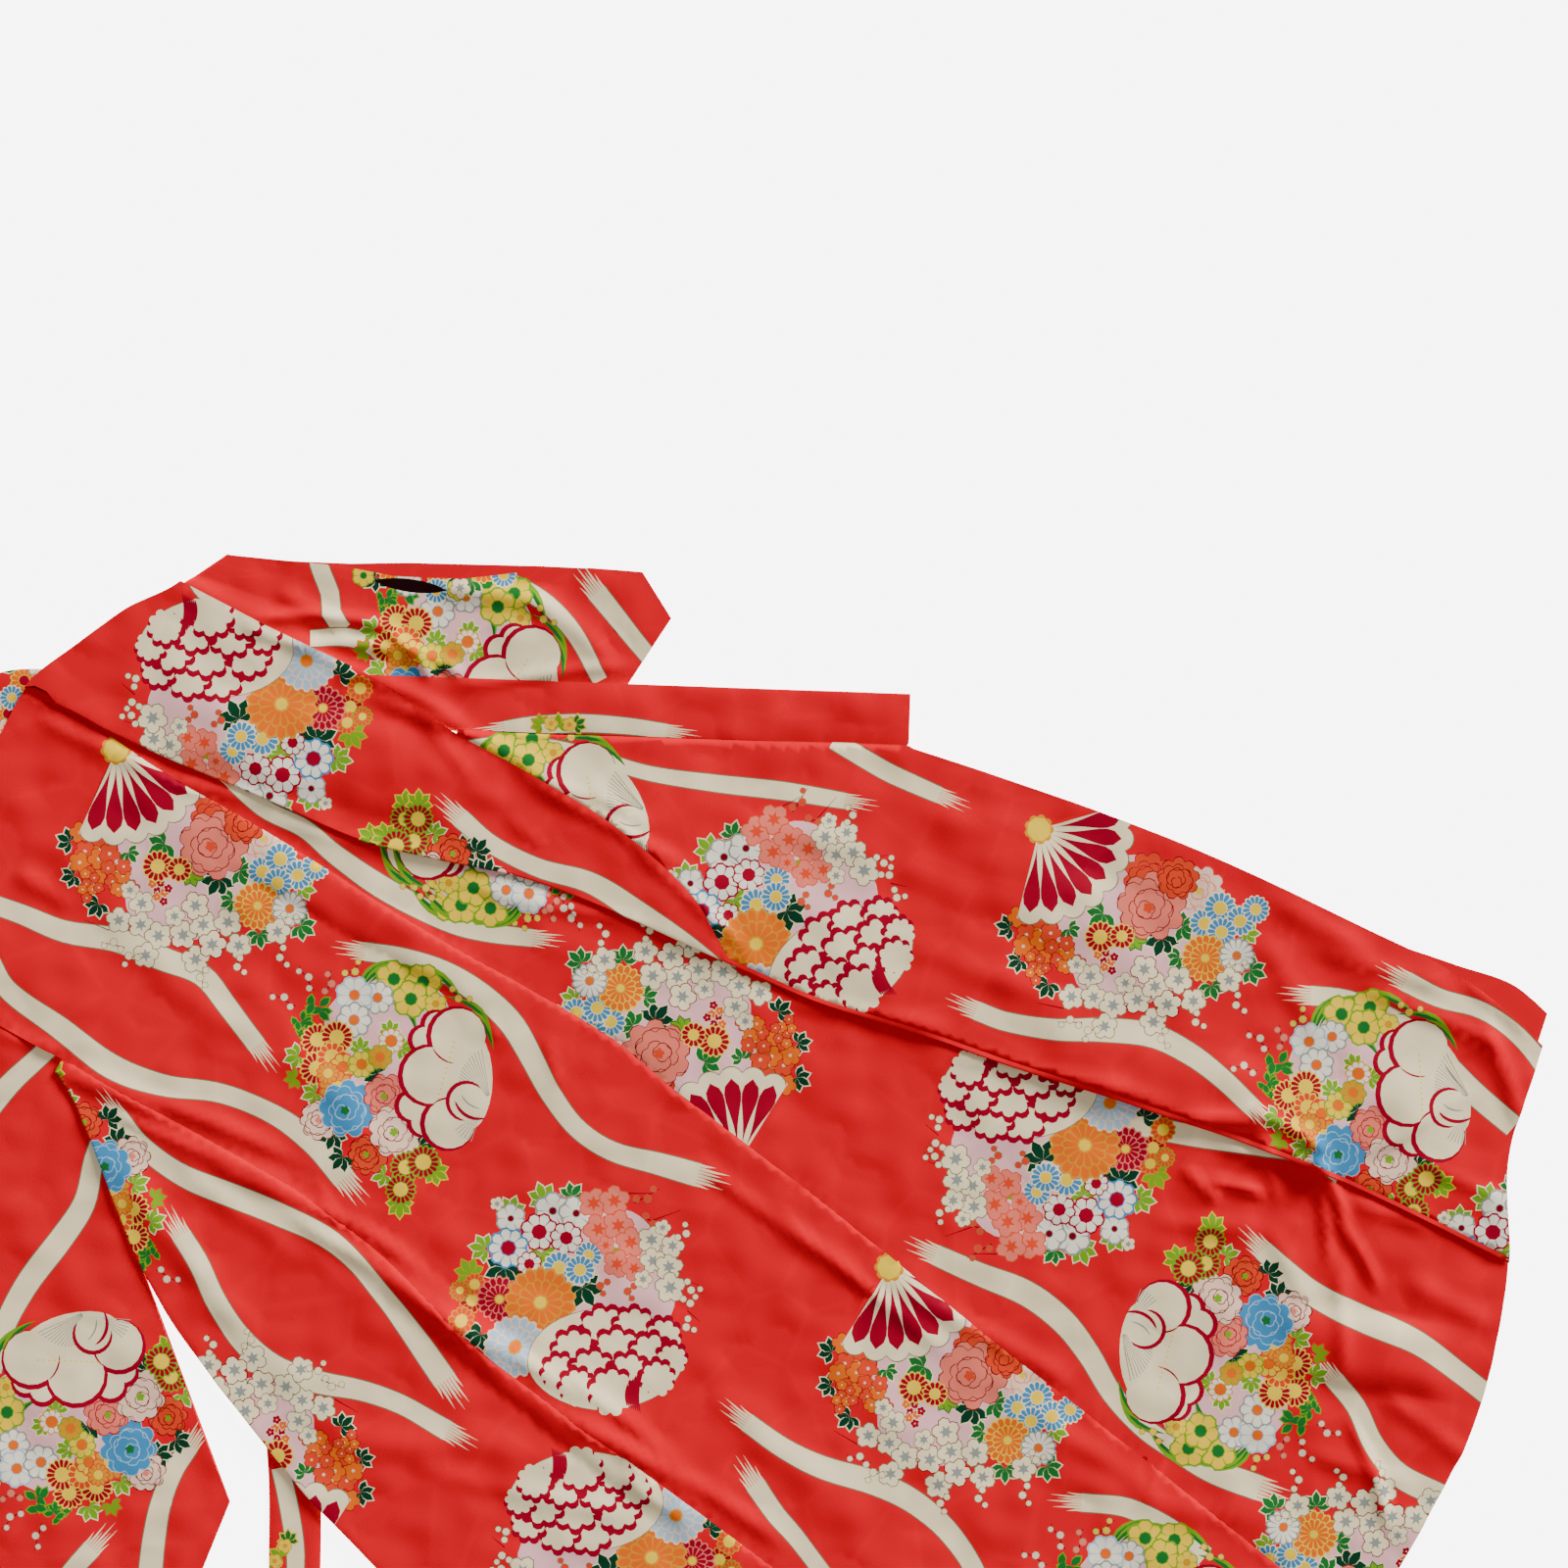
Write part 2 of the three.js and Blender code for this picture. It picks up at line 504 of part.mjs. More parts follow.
// A sleeve is one length of cloth folded at the shoulder: its front layer, the fold, its back layer
function sleeve(name, rows) {
  const columns = SLEEVE_COLUMNS;
  const fine = [];
  for (let i = 0; i < rows.length - 1; i += 1) {
    for (const t of [0, 0.5]) {
      const row = {};
      for (const key of Object.keys(rows[0])) row[key] = lerp(rows[i][key], rows[i + 1][key], t);
      fine.push(row);
    }
  }
  fine.push(rows[rows.length - 1]);
  const across = (row, recess) => Array.from({ length: columns }, (_, j) => {
    const t = j / (columns - 1);
    const out = 1 - recess / Math.hypot(row.outW - row.inW, row.outS - row.inS);
    const u = t * out;
    return { w: lerp(row.inW, row.outW, u), s: lerp(row.inS, row.outS, u), t };
  });
  const rest = FLOOR_LAYER + PITCH;
  const front = fine.map((row) => across(row, 0).map(({ w, s }) => place(w, s, FLOOR_LAYER)));
  const back = fine.map((row) => across(row, row.recess).map(({ w, s, t }) => (
    place(w, s, lerp(row.joins, rest, smooth(t / SLEEVE_FALL)))
  )));
  const shoulder = [0.25, 0.5, 0.75].map((turn) => front[0].map((low, j) => {
    const high = back[0][j];
    const outward = front[0][j].clone().sub(front[1][j]).setZ(0).normalize();
    const radius = (high.z - low.z) / 2;
    const point = low.clone().lerp(high, (1 - Math.cos(Math.PI * turn)) / 2);
    return point.addScaledVector(outward, Math.min(radius, SHOULDER_BULGE) * Math.sin(Math.PI * turn));
  }));
  wall(name, [...front.reverse(), ...shoulder, ...back]);
}

backLeft();
backRight();
frontLeft();
frontRight();
upperFronts();
okumi();
collar();
sleeve('sleeve_left', SLEEVE_LEFT);
sleeve('sleeve_right', SLEEVE_RIGHT);

export default kimono;
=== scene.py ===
# %% [markdown]
# # A kimono laid flat
# The garment lies on its front with its back upwards. Every piece of cloth is a surface worked out
# from two measures along the cloth. Its print is cut into the surface as small faces, so that it
# bends and folds with the cloth.
#
# Plan measures are millimetres: s runs down the centre back seam from the neck, and w runs across,
# towards the wearer's right. The part's own frame has x = HOME_W + w and y = HOME_S - s.

import bpy
import numpy as np
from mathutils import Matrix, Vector
from mathutils.geometry import delaunay_2d_cdt


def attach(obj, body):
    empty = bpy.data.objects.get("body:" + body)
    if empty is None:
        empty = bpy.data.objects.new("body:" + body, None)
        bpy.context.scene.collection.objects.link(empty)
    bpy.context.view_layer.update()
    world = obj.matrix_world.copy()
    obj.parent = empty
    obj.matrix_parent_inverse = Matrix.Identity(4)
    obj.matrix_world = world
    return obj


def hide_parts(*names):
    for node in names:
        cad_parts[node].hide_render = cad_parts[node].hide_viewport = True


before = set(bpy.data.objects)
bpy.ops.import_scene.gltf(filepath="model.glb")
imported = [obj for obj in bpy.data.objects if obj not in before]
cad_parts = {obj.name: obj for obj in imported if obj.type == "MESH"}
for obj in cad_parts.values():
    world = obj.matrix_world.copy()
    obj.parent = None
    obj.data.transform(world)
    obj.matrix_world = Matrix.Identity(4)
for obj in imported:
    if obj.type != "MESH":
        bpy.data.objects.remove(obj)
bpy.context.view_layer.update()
print("nodes:", sorted(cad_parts))

# %% cloth and layers
CLOTH = 0.9  # thickness of a piece, mm
LAYER = 0.6  # height of the middle of the lowest layer
PITCH = 1.8  # from one layer to the next
ROLL = PITCH / 2
ARC = np.pi * ROLL  # cloth that a fold takes up
SEAM_GAP = 0.05  # between a piece's edge and its seam
ALLOWANCE = 2.4  # cloth that lies under the next piece at a seam
GRID = 5.5  # between the points of a surface
COARSE = 16.5  # the same where the cloth is hidden
HOME_W, HOME_S = 110, 800  # the frame's origin in the plan
EASE = 0.8  # height of loose cloth over its layer
CREASED, WAVED = 1.5, 1.6  # shares of the heights in the tables of creases and waves

# %% lines that run down the garment
# Columns: s, w (and a third measure where one is named)
CENTRE_SEAM = np.array([
    (-30, 0), (61, 4), (127, -2), (232, -6), (378, -16), (548, -22), (621, -36), (719, -52),
    (789, -64), (919, -90), (1108, -124), (1325, -165),
], float)
LEFT_SEAM = np.array([
    (-30, -246), (170, -246), (310, -248), (391, -251), (471, -264), (579, -294), (654, -308),
    (740, -320), (848, -337), (1325, -400),
], float)
RIGHT_SEAM = np.array([
    (-30, 141), (151, 142), (249, 145), (324, 137), (400, 136), (481, 130), (561, 109), (608, 79),
    (650, 60), (1325, 60),
], float)
PLEAT = np.array([  # s, w of the pleat's edge, depth of the fold under it
    (-30, 5, 52), (107, 9, 54), (219, 19, 55), (298, 25, 54), (359, 40, 53), (435, 61, 52),
    (519, 71, 48), (597, 76, 60), (686, 82, 62), (771, 98, 46), (850, 110, 34), (948, 128, 26),
    (1112, 152, 14), (1325, 160, 8),
], float)
RIGHT_OUTLINE = np.array([
    (657, 299), (720, 310), (824, 326), (926, 337), (1058, 343), (1129, 345), (1180, 338),
    (1240, 322), (1325, 300),
], float)
LEFT_OUTLINE = np.array([  # s, w, width turned under
    (172, -258, 5), (200, -276, 14), (321, -376, 55), (466, -447, 88), (545, -477, 90),
    (700, -520, 84), (900, -545, 70), (1100, -572, 58), (1325, -604, 50),
], float)
OKUMI_SHOWS = np.array([(660, -2), (1060, -2), (1130, 6), (1190, 22), (1325, 16)], float)
COLLAR_SEAM = np.array([(345, 147), (657, 299)], float)  # s, w of its two ends

# %% lines that run across
# Columns: w, s
TOP_EDGE = np.array([
    (-260, -24), (-95, -20), (-76, -8), (-62, 0), (0, 1), (22, 6), (62, 25), (102, 45),
    (145, 74), (260, 90),
], float)
HEM = np.array([
    (-640, 1250), (-400, 1296), (-165, 1318), (-6, 1322), (60, 1314), (150, 1286), (231, 1243),
    (324, 1225), (380, 1215),
], float)


def along(x, table, column=1):
    """Smooth line through a table: between two rows a cubic in x, whose slope at each row is
    the slope from the row before it to the row after it."""
    xs, ys = table[:, 0], table[:, column]
    rows = np.arange(len(xs))
    before, after = np.maximum(rows - 1, 0), np.minimum(rows + 1, len(xs) - 1)
    slope = (ys[after] - ys[before]) / (xs[after] - xs[before])
    x = np.clip(x, xs[0], xs[-1])
    i = np.clip(np.searchsorted(xs, x, side="right") - 1, 0, len(xs) - 2)
    step = xs[i + 1] - xs[i]
    t = (x - xs[i]) / step
    turn = t * t * (3 - 2 * t)
    lead = step * t * (1 - t) * ((1 - t) * slope[i] - t * slope[i + 1])
    return ys[i] + (ys[i + 1] - ys[i]) * turn + lead


def ramp(t):
    """Rises smoothly from 0 to 1 as t goes from 0 to 1: t squared times (3 - 2 t)."""
    t = np.clip(t, 0, 1)
    return t * t * (3 - 2 * t)


def mix(a, b, t):
    return a + (b - a) * t


def lift(s):
    """Extra height of the back where sleeves and collar lie under it."""
    return 3.4 * (1 - ramp((s - 560) / 140))


print("centre seam at the hem, w:", round(float(along(1318, CENTRE_SEAM)), 1))

# %% swells and creases
# Swells, columns: w, s, turn from the s axis towards w in degrees, length, width, height
SWELLS = np.array([
    (40, 1215, 20, 190, 70, 7), (205, 1130, 62, 170, 62, 6), (158, 985, 12, 300, 90, 4),
    (124, 650, 14, 320, 96, 2.4), (74, 250, 14, 330, 84, 4), (240, 800, 4, 240, 80, 3),
    (-300, 620, -12, 420, 46, 4), (-372, 1080, -8, 320, 60, 4), (-30, 330, -2, 330, 44, 3),
], float)

# Creases, columns: w and s of one end, w and s of the other, width, height
CREASES = np.array([
    # beside the left side seam
    (-250, 171, -255, 266, 7, 1.6),
    (-236, 179, -241, 380, 9, 1.8),
    (-256, 217, -258, 379, 6, 1.4),
    (-254, 297, -267, 501, 9, 2.0),
    (-259, 389, -307, 594, 10, 2.2),
    (-277, 524, -310, 758, 11, 2.4),
    (-299, 644, -331, 868, 10, 2.0),
    (-325, 730, -345, 794, 7, 1.2),
    (-235, 399, -260, 430, 5, 0.9),
    # the left front
    (-291, 253, -383, 401, 18, 1.6),
    (-268, 295, -304, 413, 14, 1.2),
    (-405, 494, -355, 674, 22, 1.6),
    (-393, 568, -367, 752, 14, 1.2),
    # the left back
    (-125, 66, -138, 118, 12, 1.5),
    (-248, 114, -245, 166, 7, 1.5),
    (-28, 105, -120, 100, 16, 1.0),
    (-102, 270, -197, 428, 22, 1.2),
    (-129, 185, -174, 371, 20, 1.0),
    (-48, 457, -67, 471, 5, 0.8),
    (-46, 510, -78, 535, 6, 0.8),
    (-71, 667, -107, 785, 9, 1.5),
    (-86, 791, -129, 913, 10, 1.6),
    (-76, 741, -116, 852, 6, 1.2),
    (-81, 834, -108, 1019, 12, 1.8),
    (-120, 998, -152, 1123, 14, 1.4),
    (-232, 770, -278, 920, 24, 1.2),
    # under the neck and along the pleat
    (-5, 21, -10, 122, 8, 1.2),
    (-3, 109, 11, 228, 8, 1.3),
    (14, 226, 39, 383, 9, 1.2),
    (39, 383, 64, 541, 9, 1.4),
    (100, 396, 87, 439, 8, 0.8),
    (108, 311, 100, 396, 16, 1.4),
    # the right armhole and side seam
    (137, 134, 138, 214, 7, 1.8),
    (146, 215, 141, 330, 8, 2.2),
    (139, 250, 136, 413, 9, 2.0),
    (137, 305, 106, 357, 10, 1.4),
    (139, 393, 118, 548, 8, 1.8),
    (138, 484, 81, 622, 8, 1.6),
    (142, 374, 141, 482, 7, 1.2),
    (158, 437, 138, 502, 9, 1.2),
    # the right sleeve
    (144, 141, 187, 242, 7, 3.0),
    (174, 146, 163, 210, 12, 2.0),
    (141, 177, 172, 259, 6, 2.6),
    (183, 240, 168, 288, 7, 3.2),
    (182, 263, 179, 309, 6, 2.4),
    (235, 253, 258, 348, 12, 2.4),
    (269, 325, 242, 410, 14, 2.0),
    (179, 309, 243, 428, 6, 1.8),
    (133, 221, 156, 254, 6, 1.4),
    # the right front
    (189, 564, 206, 681, 26, 1.6),
    (255, 637, 273, 789, 24, 1.4),
    (169, 746, 169, 881, 18, 1.2),
    (78, 659, 103, 790, 10, 1.6),
    (103, 790, 132, 972, 9, 1.6),
    (337, 962, 315, 1072, 16, 1.6),
    (314, 1019, 324, 1140, 12, 1.6),
    (308, 1076, 301, 1197, 9, 1.8),
    (299, 991, 244, 1056, 14, 1.2),
    (325, 1175, 257, 1234, 10, 2.0),
    (346, 1146, 326, 1211, 8, 1.6),
    # the rumpled place by the side seam, near the hem
    (136, 988, 162, 1055, 7, 2.6),
    (169, 1033, 167, 1106, 7, 3.0),
    (133, 1034, 150, 1116, 8, 2.6),
    (103, 1037, 112, 1082, 6, 2.8),
    (104, 1014, 88, 1050, 7, 1.8),
    (162, 1055, 110, 1092, 8, 1.6),
    (160, 1101, 123, 1150, 6, 3.0),
    (127, 1142, 86, 1198, 7, 2.4),
    (147, 1119, 87, 1150, 6, 1.8),
    (96, 1167, 14, 1198, 9, 1.6),
    (189, 1139, 261, 1191, 10, 1.6),
    (147, 1144, 148, 1215, 9, 1.4),
    (96, 1099, 51, 1150, 12, 1.4),
    (58, 1011, 85, 1096, 12, 1.4),
    (201, 1178, 196, 1253, 9, 1.4),
    (113, 1216, 101, 1294, 14, 1.4),
    # the hem
    (-13, 1233, -80, 1293, 7, 2.2),
    (21, 1247, -5, 1332, 12, 1.6),
    (-50, 1213, -41, 1298, 10, 1.2),
    (-28, 1111, -151, 1109, 5, 0.9),
    (53, 1104, -25, 1109, 14, 1.0),
    (-154, 1052, -128, 1218, 18, 1.2),
], float)

# Slow waves of the whole cloth, columns: length of a wave along w, along s, height, phase
WAVES = np.array([
    (83, 260, 0.34, 0.4), (-130, 71, 0.26, 1.9), (47, 118, 0.16, 4.1), (-39, 57, 0.10, 2.2),
    (210, -96, 0.36, 5.0), (29, -170, 0.08, 0.9), (61, 41, 0.10, 3.3),
], float)


def relief(w, s):
    """Height of the cloth's swells, creases and waves at w, s. A swell is
    height x ramp(1 - (2 along/length)^2) x ramp(1 - (2 across/width)^2). A crease is
    height x exp(-(across/(half its width + 3))^2), and falls away over the last third towards
    each end. A wave is a sine."""
    height = EASE + np.zeros_like(w)
    for rw, rs, turn, length, width, tall in SWELLS:
        a = np.radians(turn)
        down = (s - rs) * np.cos(a) + (w - rw) * np.sin(a)
        across = (w - rw) * np.cos(a) - (s - rs) * np.sin(a)
        height += tall * ramp(1 - (2 * down / length) ** 2) * ramp(1 - (2 * across / width) ** 2)
    for w0, s0, w1, s1, width, tall in CREASES:
        length = np.hypot(w1 - w0, s1 - s0)
        cw, cs = (w1 - w0) / length, (s1 - s0) / length
        down = (w - w0) * cw + (s - s0) * cs
        bend = 0.05 * length * np.sin(np.pi * np.clip(down / length, 0, 1) + tall)
        across = (w - w0) * cs - (s - s0) * cw + bend
        ends = ramp(3 * (down / length + 0.12)) * ramp(3 * (1.12 - down / length))
        height += CREASED * tall * ends * np.exp(-(2 * across / (width + 6)) ** 2)
    for wave_w, wave_s, tall, phase in WAVES:
        height += WAVED * tall * np.sin(2 * np.pi * (w / wave_w + s / wave_s) + phase)
    return np.maximum(height, 0)


def seam_dip(gap, s):
    """How far the cloth dips into a seam: 0.5 mm at the stitches, with small puckers beside it."""
    pucker = np.sin(s / 2.3 + 2 * np.sin(s / 17)) * np.exp(-(gap / 9) ** 2)
    return 0.5 * np.exp(-(gap / 2.2) ** 2) + 0.12 * pucker


print("creases:", len(CREASES), "swells:", len(SWELLS))


# %% the right side of the body, one chain of cloth
BESIDE_COLLAR = 4.6  # height of the right front's edge where the collar begins
FALL_FROM = 343  # s from which the top layer falls towards that edge


def right_outer(s):
    """w of the right front's outer edge: the straight collar seam, then its outline."""
    (s0, w0), (s1, w1) = COLLAR_SEAM
    return np.where(s < s1, mix(w0, w1, (s - s0) / (s1 - s0)), along(s, RIGHT_OUTLINE))


def chain(s):
    """Distances along the cloth from the centre seam at which the pleat's folds begin and end:
    the lower layer, a fold under the pleat, the middle layer back to the pleat's edge, a fold,
    and then the top layer, which the side seam divides."""
    centre = along(s, CENTRE_SEAM)
    edge = np.maximum(along(s, PLEAT), centre + 4)
    depth = along(s, PLEAT, 2)
    lower = edge + depth - centre
    middle = lower + ARC
    turn = middle + depth
    top = turn + ARC
    seam = top + np.maximum(3, along(s, RIGHT_SEAM) - edge)
    return centre, edge, depth, lower, middle, turn, top, seam


def right_shape(u, s):
    """w, s and height of the right side's cloth at distance u from the centre seam. On the flat
    layers w goes with u or against it; on a fold w and height go round a half circle."""
    centre, edge, depth, lower, middle, turn, top, seam = chain(s)
    base = LAYER + lift(s)
    first, second = (u - lower) / ROLL, (u - turn) / ROLL
    where = [u <= lower, u <= middle, u <= turn, u <= top]
    w = np.select(where, [
        centre + u,
        edge + depth + ROLL * np.sin(first),
        edge + depth - (u - middle),
        edge - ROLL * np.sin(second),
    ], edge + u - top)
    start = np.maximum(edge + depth + 6, edge + seam - top)
    reach = np.maximum(20, 0.8 * (right_outer(s) - start))
    rest = mix(BESIDE_COLLAR, LAYER + PITCH, ramp((s - 440) / 120))
    high = base + 2 * PITCH
    falling = np.where(s < FALL_FROM, high, mix(high, rest, ramp((w - start) / reach)))
    z = np.select(where, [
        base,
        base + ROLL * (1 - np.cos(first)),
        base + PITCH,
        base + PITCH + ROLL * (1 - np.cos(second)),
    ], falling)
    shows = np.where(u > turn, seam_dip(np.abs(u - seam), s), seam_dip(u, s))
    return w, s, z + relief(w, s) - shows


def right_place(w, s, top_layer):
    """Distance u along the cloth of a place in the plan, on the lower or the top layer."""
    centre, edge, depth, lower, middle, turn, top, seam = chain(s)
    return np.where(top_layer, w - edge + top, w - centre)


def right_hidden(u, s):
    """Where the right side's cloth lies inside the pleat."""
    centre, edge, depth, lower, middle, turn, top, seam = chain(s)
    return (u > edge - centre + 10) & (u < turn - 6)


# %% the left side of the body
def left_back_shape(u, s):
    """The left back: w = u. It climbs one layer towards the side seam, over the front."""
    gap = u - along(s, LEFT_SEAM)
    rise = PITCH * ramp((110 - gap) / 75)
    dips = seam_dip(gap, s) + seam_dip(along(s, CENTRE_SEAM) - u, s)
    return u, s, LAYER + lift(s) + rise + relief(u, s) - dips


def left_front_shape(u, s):
    """The left front: w = u out to its edge, then round a half circle, then back under itself."""
    fold = along(s, LEFT_OUTLINE) + ROLL
    past = fold - u
    angle = past / ROLL
    base = LAYER + lift(s)
    where = [past <= 0, past <= ARC]
    w = np.select(where, [u, fold - ROLL * np.sin(angle)], fold + past - ARC)
    z = np.select(where, [base + PITCH, base + ROLL * (1 + np.cos(angle))], base)
    dip = seam_dip(np.abs(along(s, LEFT_SEAM) - u), s)
    return w, s, z + relief(w, s) - dip


def flat_shape(u, s):
    """A piece that lies on the surface under the others: w = u."""
    return u, s, LAYER + np.zeros_like(u)


print("chain of the right side at s = 600:", [round(float(x)) for x in chain(np.array(600.0))])

# %% the collar
# Columns: w, s, height of the collar's middle line, from its left end round the neck
COLLAR_RUN = np.array([
    (-640, 592, 1.2), (-545, 540, 1.2), (-447, 487, 1.2), (-300, 385, 1.2), (-150, 200, 1.2),
    (-88, 60, 1.2), (-66, 0, 1.2), (-38, -21, 1.2), (-10, -10, 1.2), (10, 22, 1.2), (36, 72, 1.2),
    (64, 126, 1.2), (91.5, 179.6, 1.3), (129.3, 257.6, 3.6), (166.8, 334.6, 4.6),
    (220.4, 444.6, 4.6), (254.5, 514.6, 2.4), (286.2, 579.6, 1.6), (318.8, 646.6, 1.6),
], float)
COLLAR_AT = np.concatenate([[0], np.cumsum(np.hypot(*np.diff(COLLAR_RUN[:, :2], axis=0).T))])
COLLAR_LINE = np.column_stack([COLLAR_AT, COLLAR_RUN])


def collar_shape(u, v):
    """The collar: v runs along its middle line, and u across it from -21 to 21. It is folded
    along its outer edge, so it is fuller in the middle than at its seam."""
    w, s = along(v, COLLAR_LINE, 1), along(v, COLLAR_LINE, 2)
    dw = along(v + 0.5, COLLAR_LINE, 1) - along(v - 0.5, COLLAR_LINE, 1)
    ds = along(v + 0.5, COLLAR_LINE, 2) - along(v - 0.5, COLLAR_LINE, 2)
    size = np.maximum(np.hypot(dw, ds), 1e-9)
    w, s = w + u * ds / size, s - u * dw / size
    full = 1.0 * (1 - (u / 21) ** 4) + 0.3 * np.sin(v / 31) * np.cos(u / 9)
    share = mix(0.35, 1, ramp((v - 1100) / 80))
    z = along(v, COLLAR_LINE, 3) + full + share * relief(w, s)
    return w, s, z


# %% the sleeves
# Columns: place, w and s beside the body, w and s at the far edge, recess, height at the body.
# The first row is the shoulder fold, and the last the lower end.
SLEEVE_RIGHT = np.array([
    (0, 140.2, 76, 178, 96, 0, 6.0), (1, 140.6, 118, 196, 140, 0, 6.0),
    (2, 140.8, 165, 218, 186, 4, 6.0), (3, 142, 200, 240, 226, 15, 3.2),
    (4, 141, 260, 264, 274, 15, 2.4), (5, 135, 315, 288, 322, 4, 2.4),
    (6, 150, 370, 306, 360, 0, 2.4), (7, 164, 405, 323, 399, 0, 2.4),
    (8, 172, 425, 301, 437, 0, 2.4),
], float)
SLEEVE_LEFT = np.array([
    (0, -244.6, -20, -400, -72, 0, 4.4), (1, -244.6, 60, -446, -30, 0, 4.4),
    (2, -244.6, 120, -482, 20, 0, 4.4), (3, -243.6, 168, -520, 78, 0, 2.0),
    (4, -330, 264, -560, 128, 0, 2.4), (5, -415, 360, -600, 168, 0, 2.4),
    (6, -501, 457, -645, 190, 0, 2.4), (7, -570, 464, -690, 203, 0, 2.4),
    (8, -690, 470, -735, 210, 0, 2.4), (9, -750, 474, -762, 222, 0, 2.4),
], float)
SLEEVE_ROW = 60.0  # cloth between two rows
SHOULDER = 2.4  # half of the cloth that the shoulder fold takes up
SLEEVE_WIDTH = 200.0


def sleeve_shape(table):
    def shape(u, v):
        """A sleeve: u runs from the body to the far edge, 0 to 200, and v along the cloth, from
        the front layer's end through the shoulder fold at 0 to the back layer's end."""
        row = np.maximum(np.abs(v) - SHOULDER, 0) / SLEEVE_ROW
        back = v > 0
        lane = [np.interp(row, table[:, 0], table[:, k]) for k in range(1, 7)]
        in_w, in_s, out_w, out_s, recess, joins = lane
        t = u / SLEEVE_WIDTH
        t = t * np.where(back, 1 - recess / np.hypot(out_w - in_w, out_s - in_s), 1)
        w, s = mix(in_w, out_w, t), mix(in_s, out_s, t)
        high = mix(joins, LAYER + PITCH, ramp(t / 0.35))
        turn = np.clip(v / SHOULDER, -1, 1) * np.pi / 2
        z = mix(LAYER, high, (1 + np.sin(turn)) / 2)
        s = s - 1.2 * np.cos(turn)
        return w, s, z + np.where(back, 1, 0.25) * relief(w, s) * ramp((v + 6) / 12)
    return shape


print("collar length, mm:", round(COLLAR_AT[-1]))

# %% colours of the print, and one colour of painted shade
# "shade" is painted shade, for the dark inside of the sleeve's open end
COLOURS = {
    "ground": (224, 0, 30), "crimson": (158, 0, 38), "wine": (118, 4, 24),
    "cream": (252, 232, 186), "pink": (246, 186, 186), "rim": (120, 112, 84),
    "salmon": (238, 120, 100), "coral": (226, 66, 34), "orange": (236, 104, 18),
    "yellow": (246, 204, 52), "gold": (222, 146, 30), "blue": (60, 134, 184),
    "mist": (168, 196, 214), "green": (32, 110, 44), "lime": (116, 164, 28),
    "dark": (8, 58, 36), "grey": (146, 150, 142), "white": (248, 238, 218),
    "blush": (248, 206, 178), "shade": (26, 2, 5),
}
NAMES = list(COLOURS)


def linear(rgb):
    """The light that a screen value gives: ((c + 0.055) / 1.055)^2.4 for each part c."""
    c = np.array(rgb, float) / 255
    return np.where(c < 0.04045, c / 12.92, ((c + 0.055) / 1.055) ** 2.4)


PALETTE = np.array([[*linear(rgb), 1.0] for rgb in COLOURS.values()])


# %% petals, rosettes and leaves
# A motif is a list of (outline, colour name). Later outlines lie over earlier ones. In a ball's
# own measures x runs to the right and y up, in millimetres. Every motif takes x, y, a size and a
# turn, but the two great flowers and the pale ground of a ball have one size and one way up.
def turned(points, degrees, x=0.0, y=0.0):
    """Points turned about the origin and moved by x, y."""
    a = np.radians(degrees)
    px, py = points.T
    return np.column_stack([x + px * np.cos(a) - py * np.sin(a), y + px * np.sin(a) + py * np.cos(a)])


def petal(length, width, fullness=1.5, steps=3):
    """A petal along +x: half its width is width/2 x sin(pi t^fullness)^0.7 at x = length t."""
    t = np.linspace(0, 1, steps + 2)
    half = 0.5 * width * np.sin(np.pi * t ** fullness).clip(0) ** 0.7
    return np.concatenate([
        np.column_stack([length * t, half]), np.column_stack([length * t, -half])[-2:0:-1],
    ])


def rosette(x, y, r, lobes, dip=0.2, turn=0.0, steps=4):
    """A round of lobes: the radius is r (1 - dip + dip |sin(lobes a/2)|^0.6) at angle a."""
    a = np.linspace(0, 2 * np.pi, lobes * steps, endpoint=False)
    radius = r * (1 - dip + dip * np.abs(np.sin(lobes * a / 2)) ** 0.6)
    return turned(np.column_stack([radius * np.cos(a), radius * np.sin(a)]), turn, x, y)


def disc(x, y, r, steps=8):
    return rosette(x, y, r, 1, 0, 0, steps)


def spokes(x, y, inner, outer, count, colour, turn=0.0, width=0.7):
    """Thin rays between two radii, which part the petals of a flower."""
    ray = np.array([(inner, 0), (outer, width / 2), (outer, -width / 2)])
    return [(turned(ray, turn + 360 * k / count, x, y), colour) for k in range(count)]


def leaf(x, y, length, width, turn, fill="green", rim="cream"):
    return [
        (turned(petal(length + 1.4, width + 1.4, 1.0, 2), turn, x, y), rim),
        (turned(petal(length, width, 1.0, 2), turn, x, y), fill),
    ]


def leaves(x, y, r, turn, fill="green", rim="cream"):
    """A spray of five leaves from one place."""
    return sum((leaf(x, y, r * (1 - 0.06 * abs(k)), r * 0.5, turn + 48 * k, fill, rim)
                for k in (-2, 2, -1, 1, 0)), [])


def plum(x, y, r, turn, rim="rim"):
    """A plum blossom: five round petals with a star of stamens."""
    spots = [(x + 0.56 * r * np.cos(a), y + 0.56 * r * np.sin(a))
             for a in np.radians(turn) + np.arange(5) * 2 * np.pi / 5]
    made = [(disc(px, py, 0.47 * r, 7), rim) for px, py in spots]
    made += [(disc(px, py, 0.40 * r, 7), "cream") for px, py in spots]
    return made + [(rosette(x, y, 0.5 * r, 6, 0.55, turn, 2), "grey")]


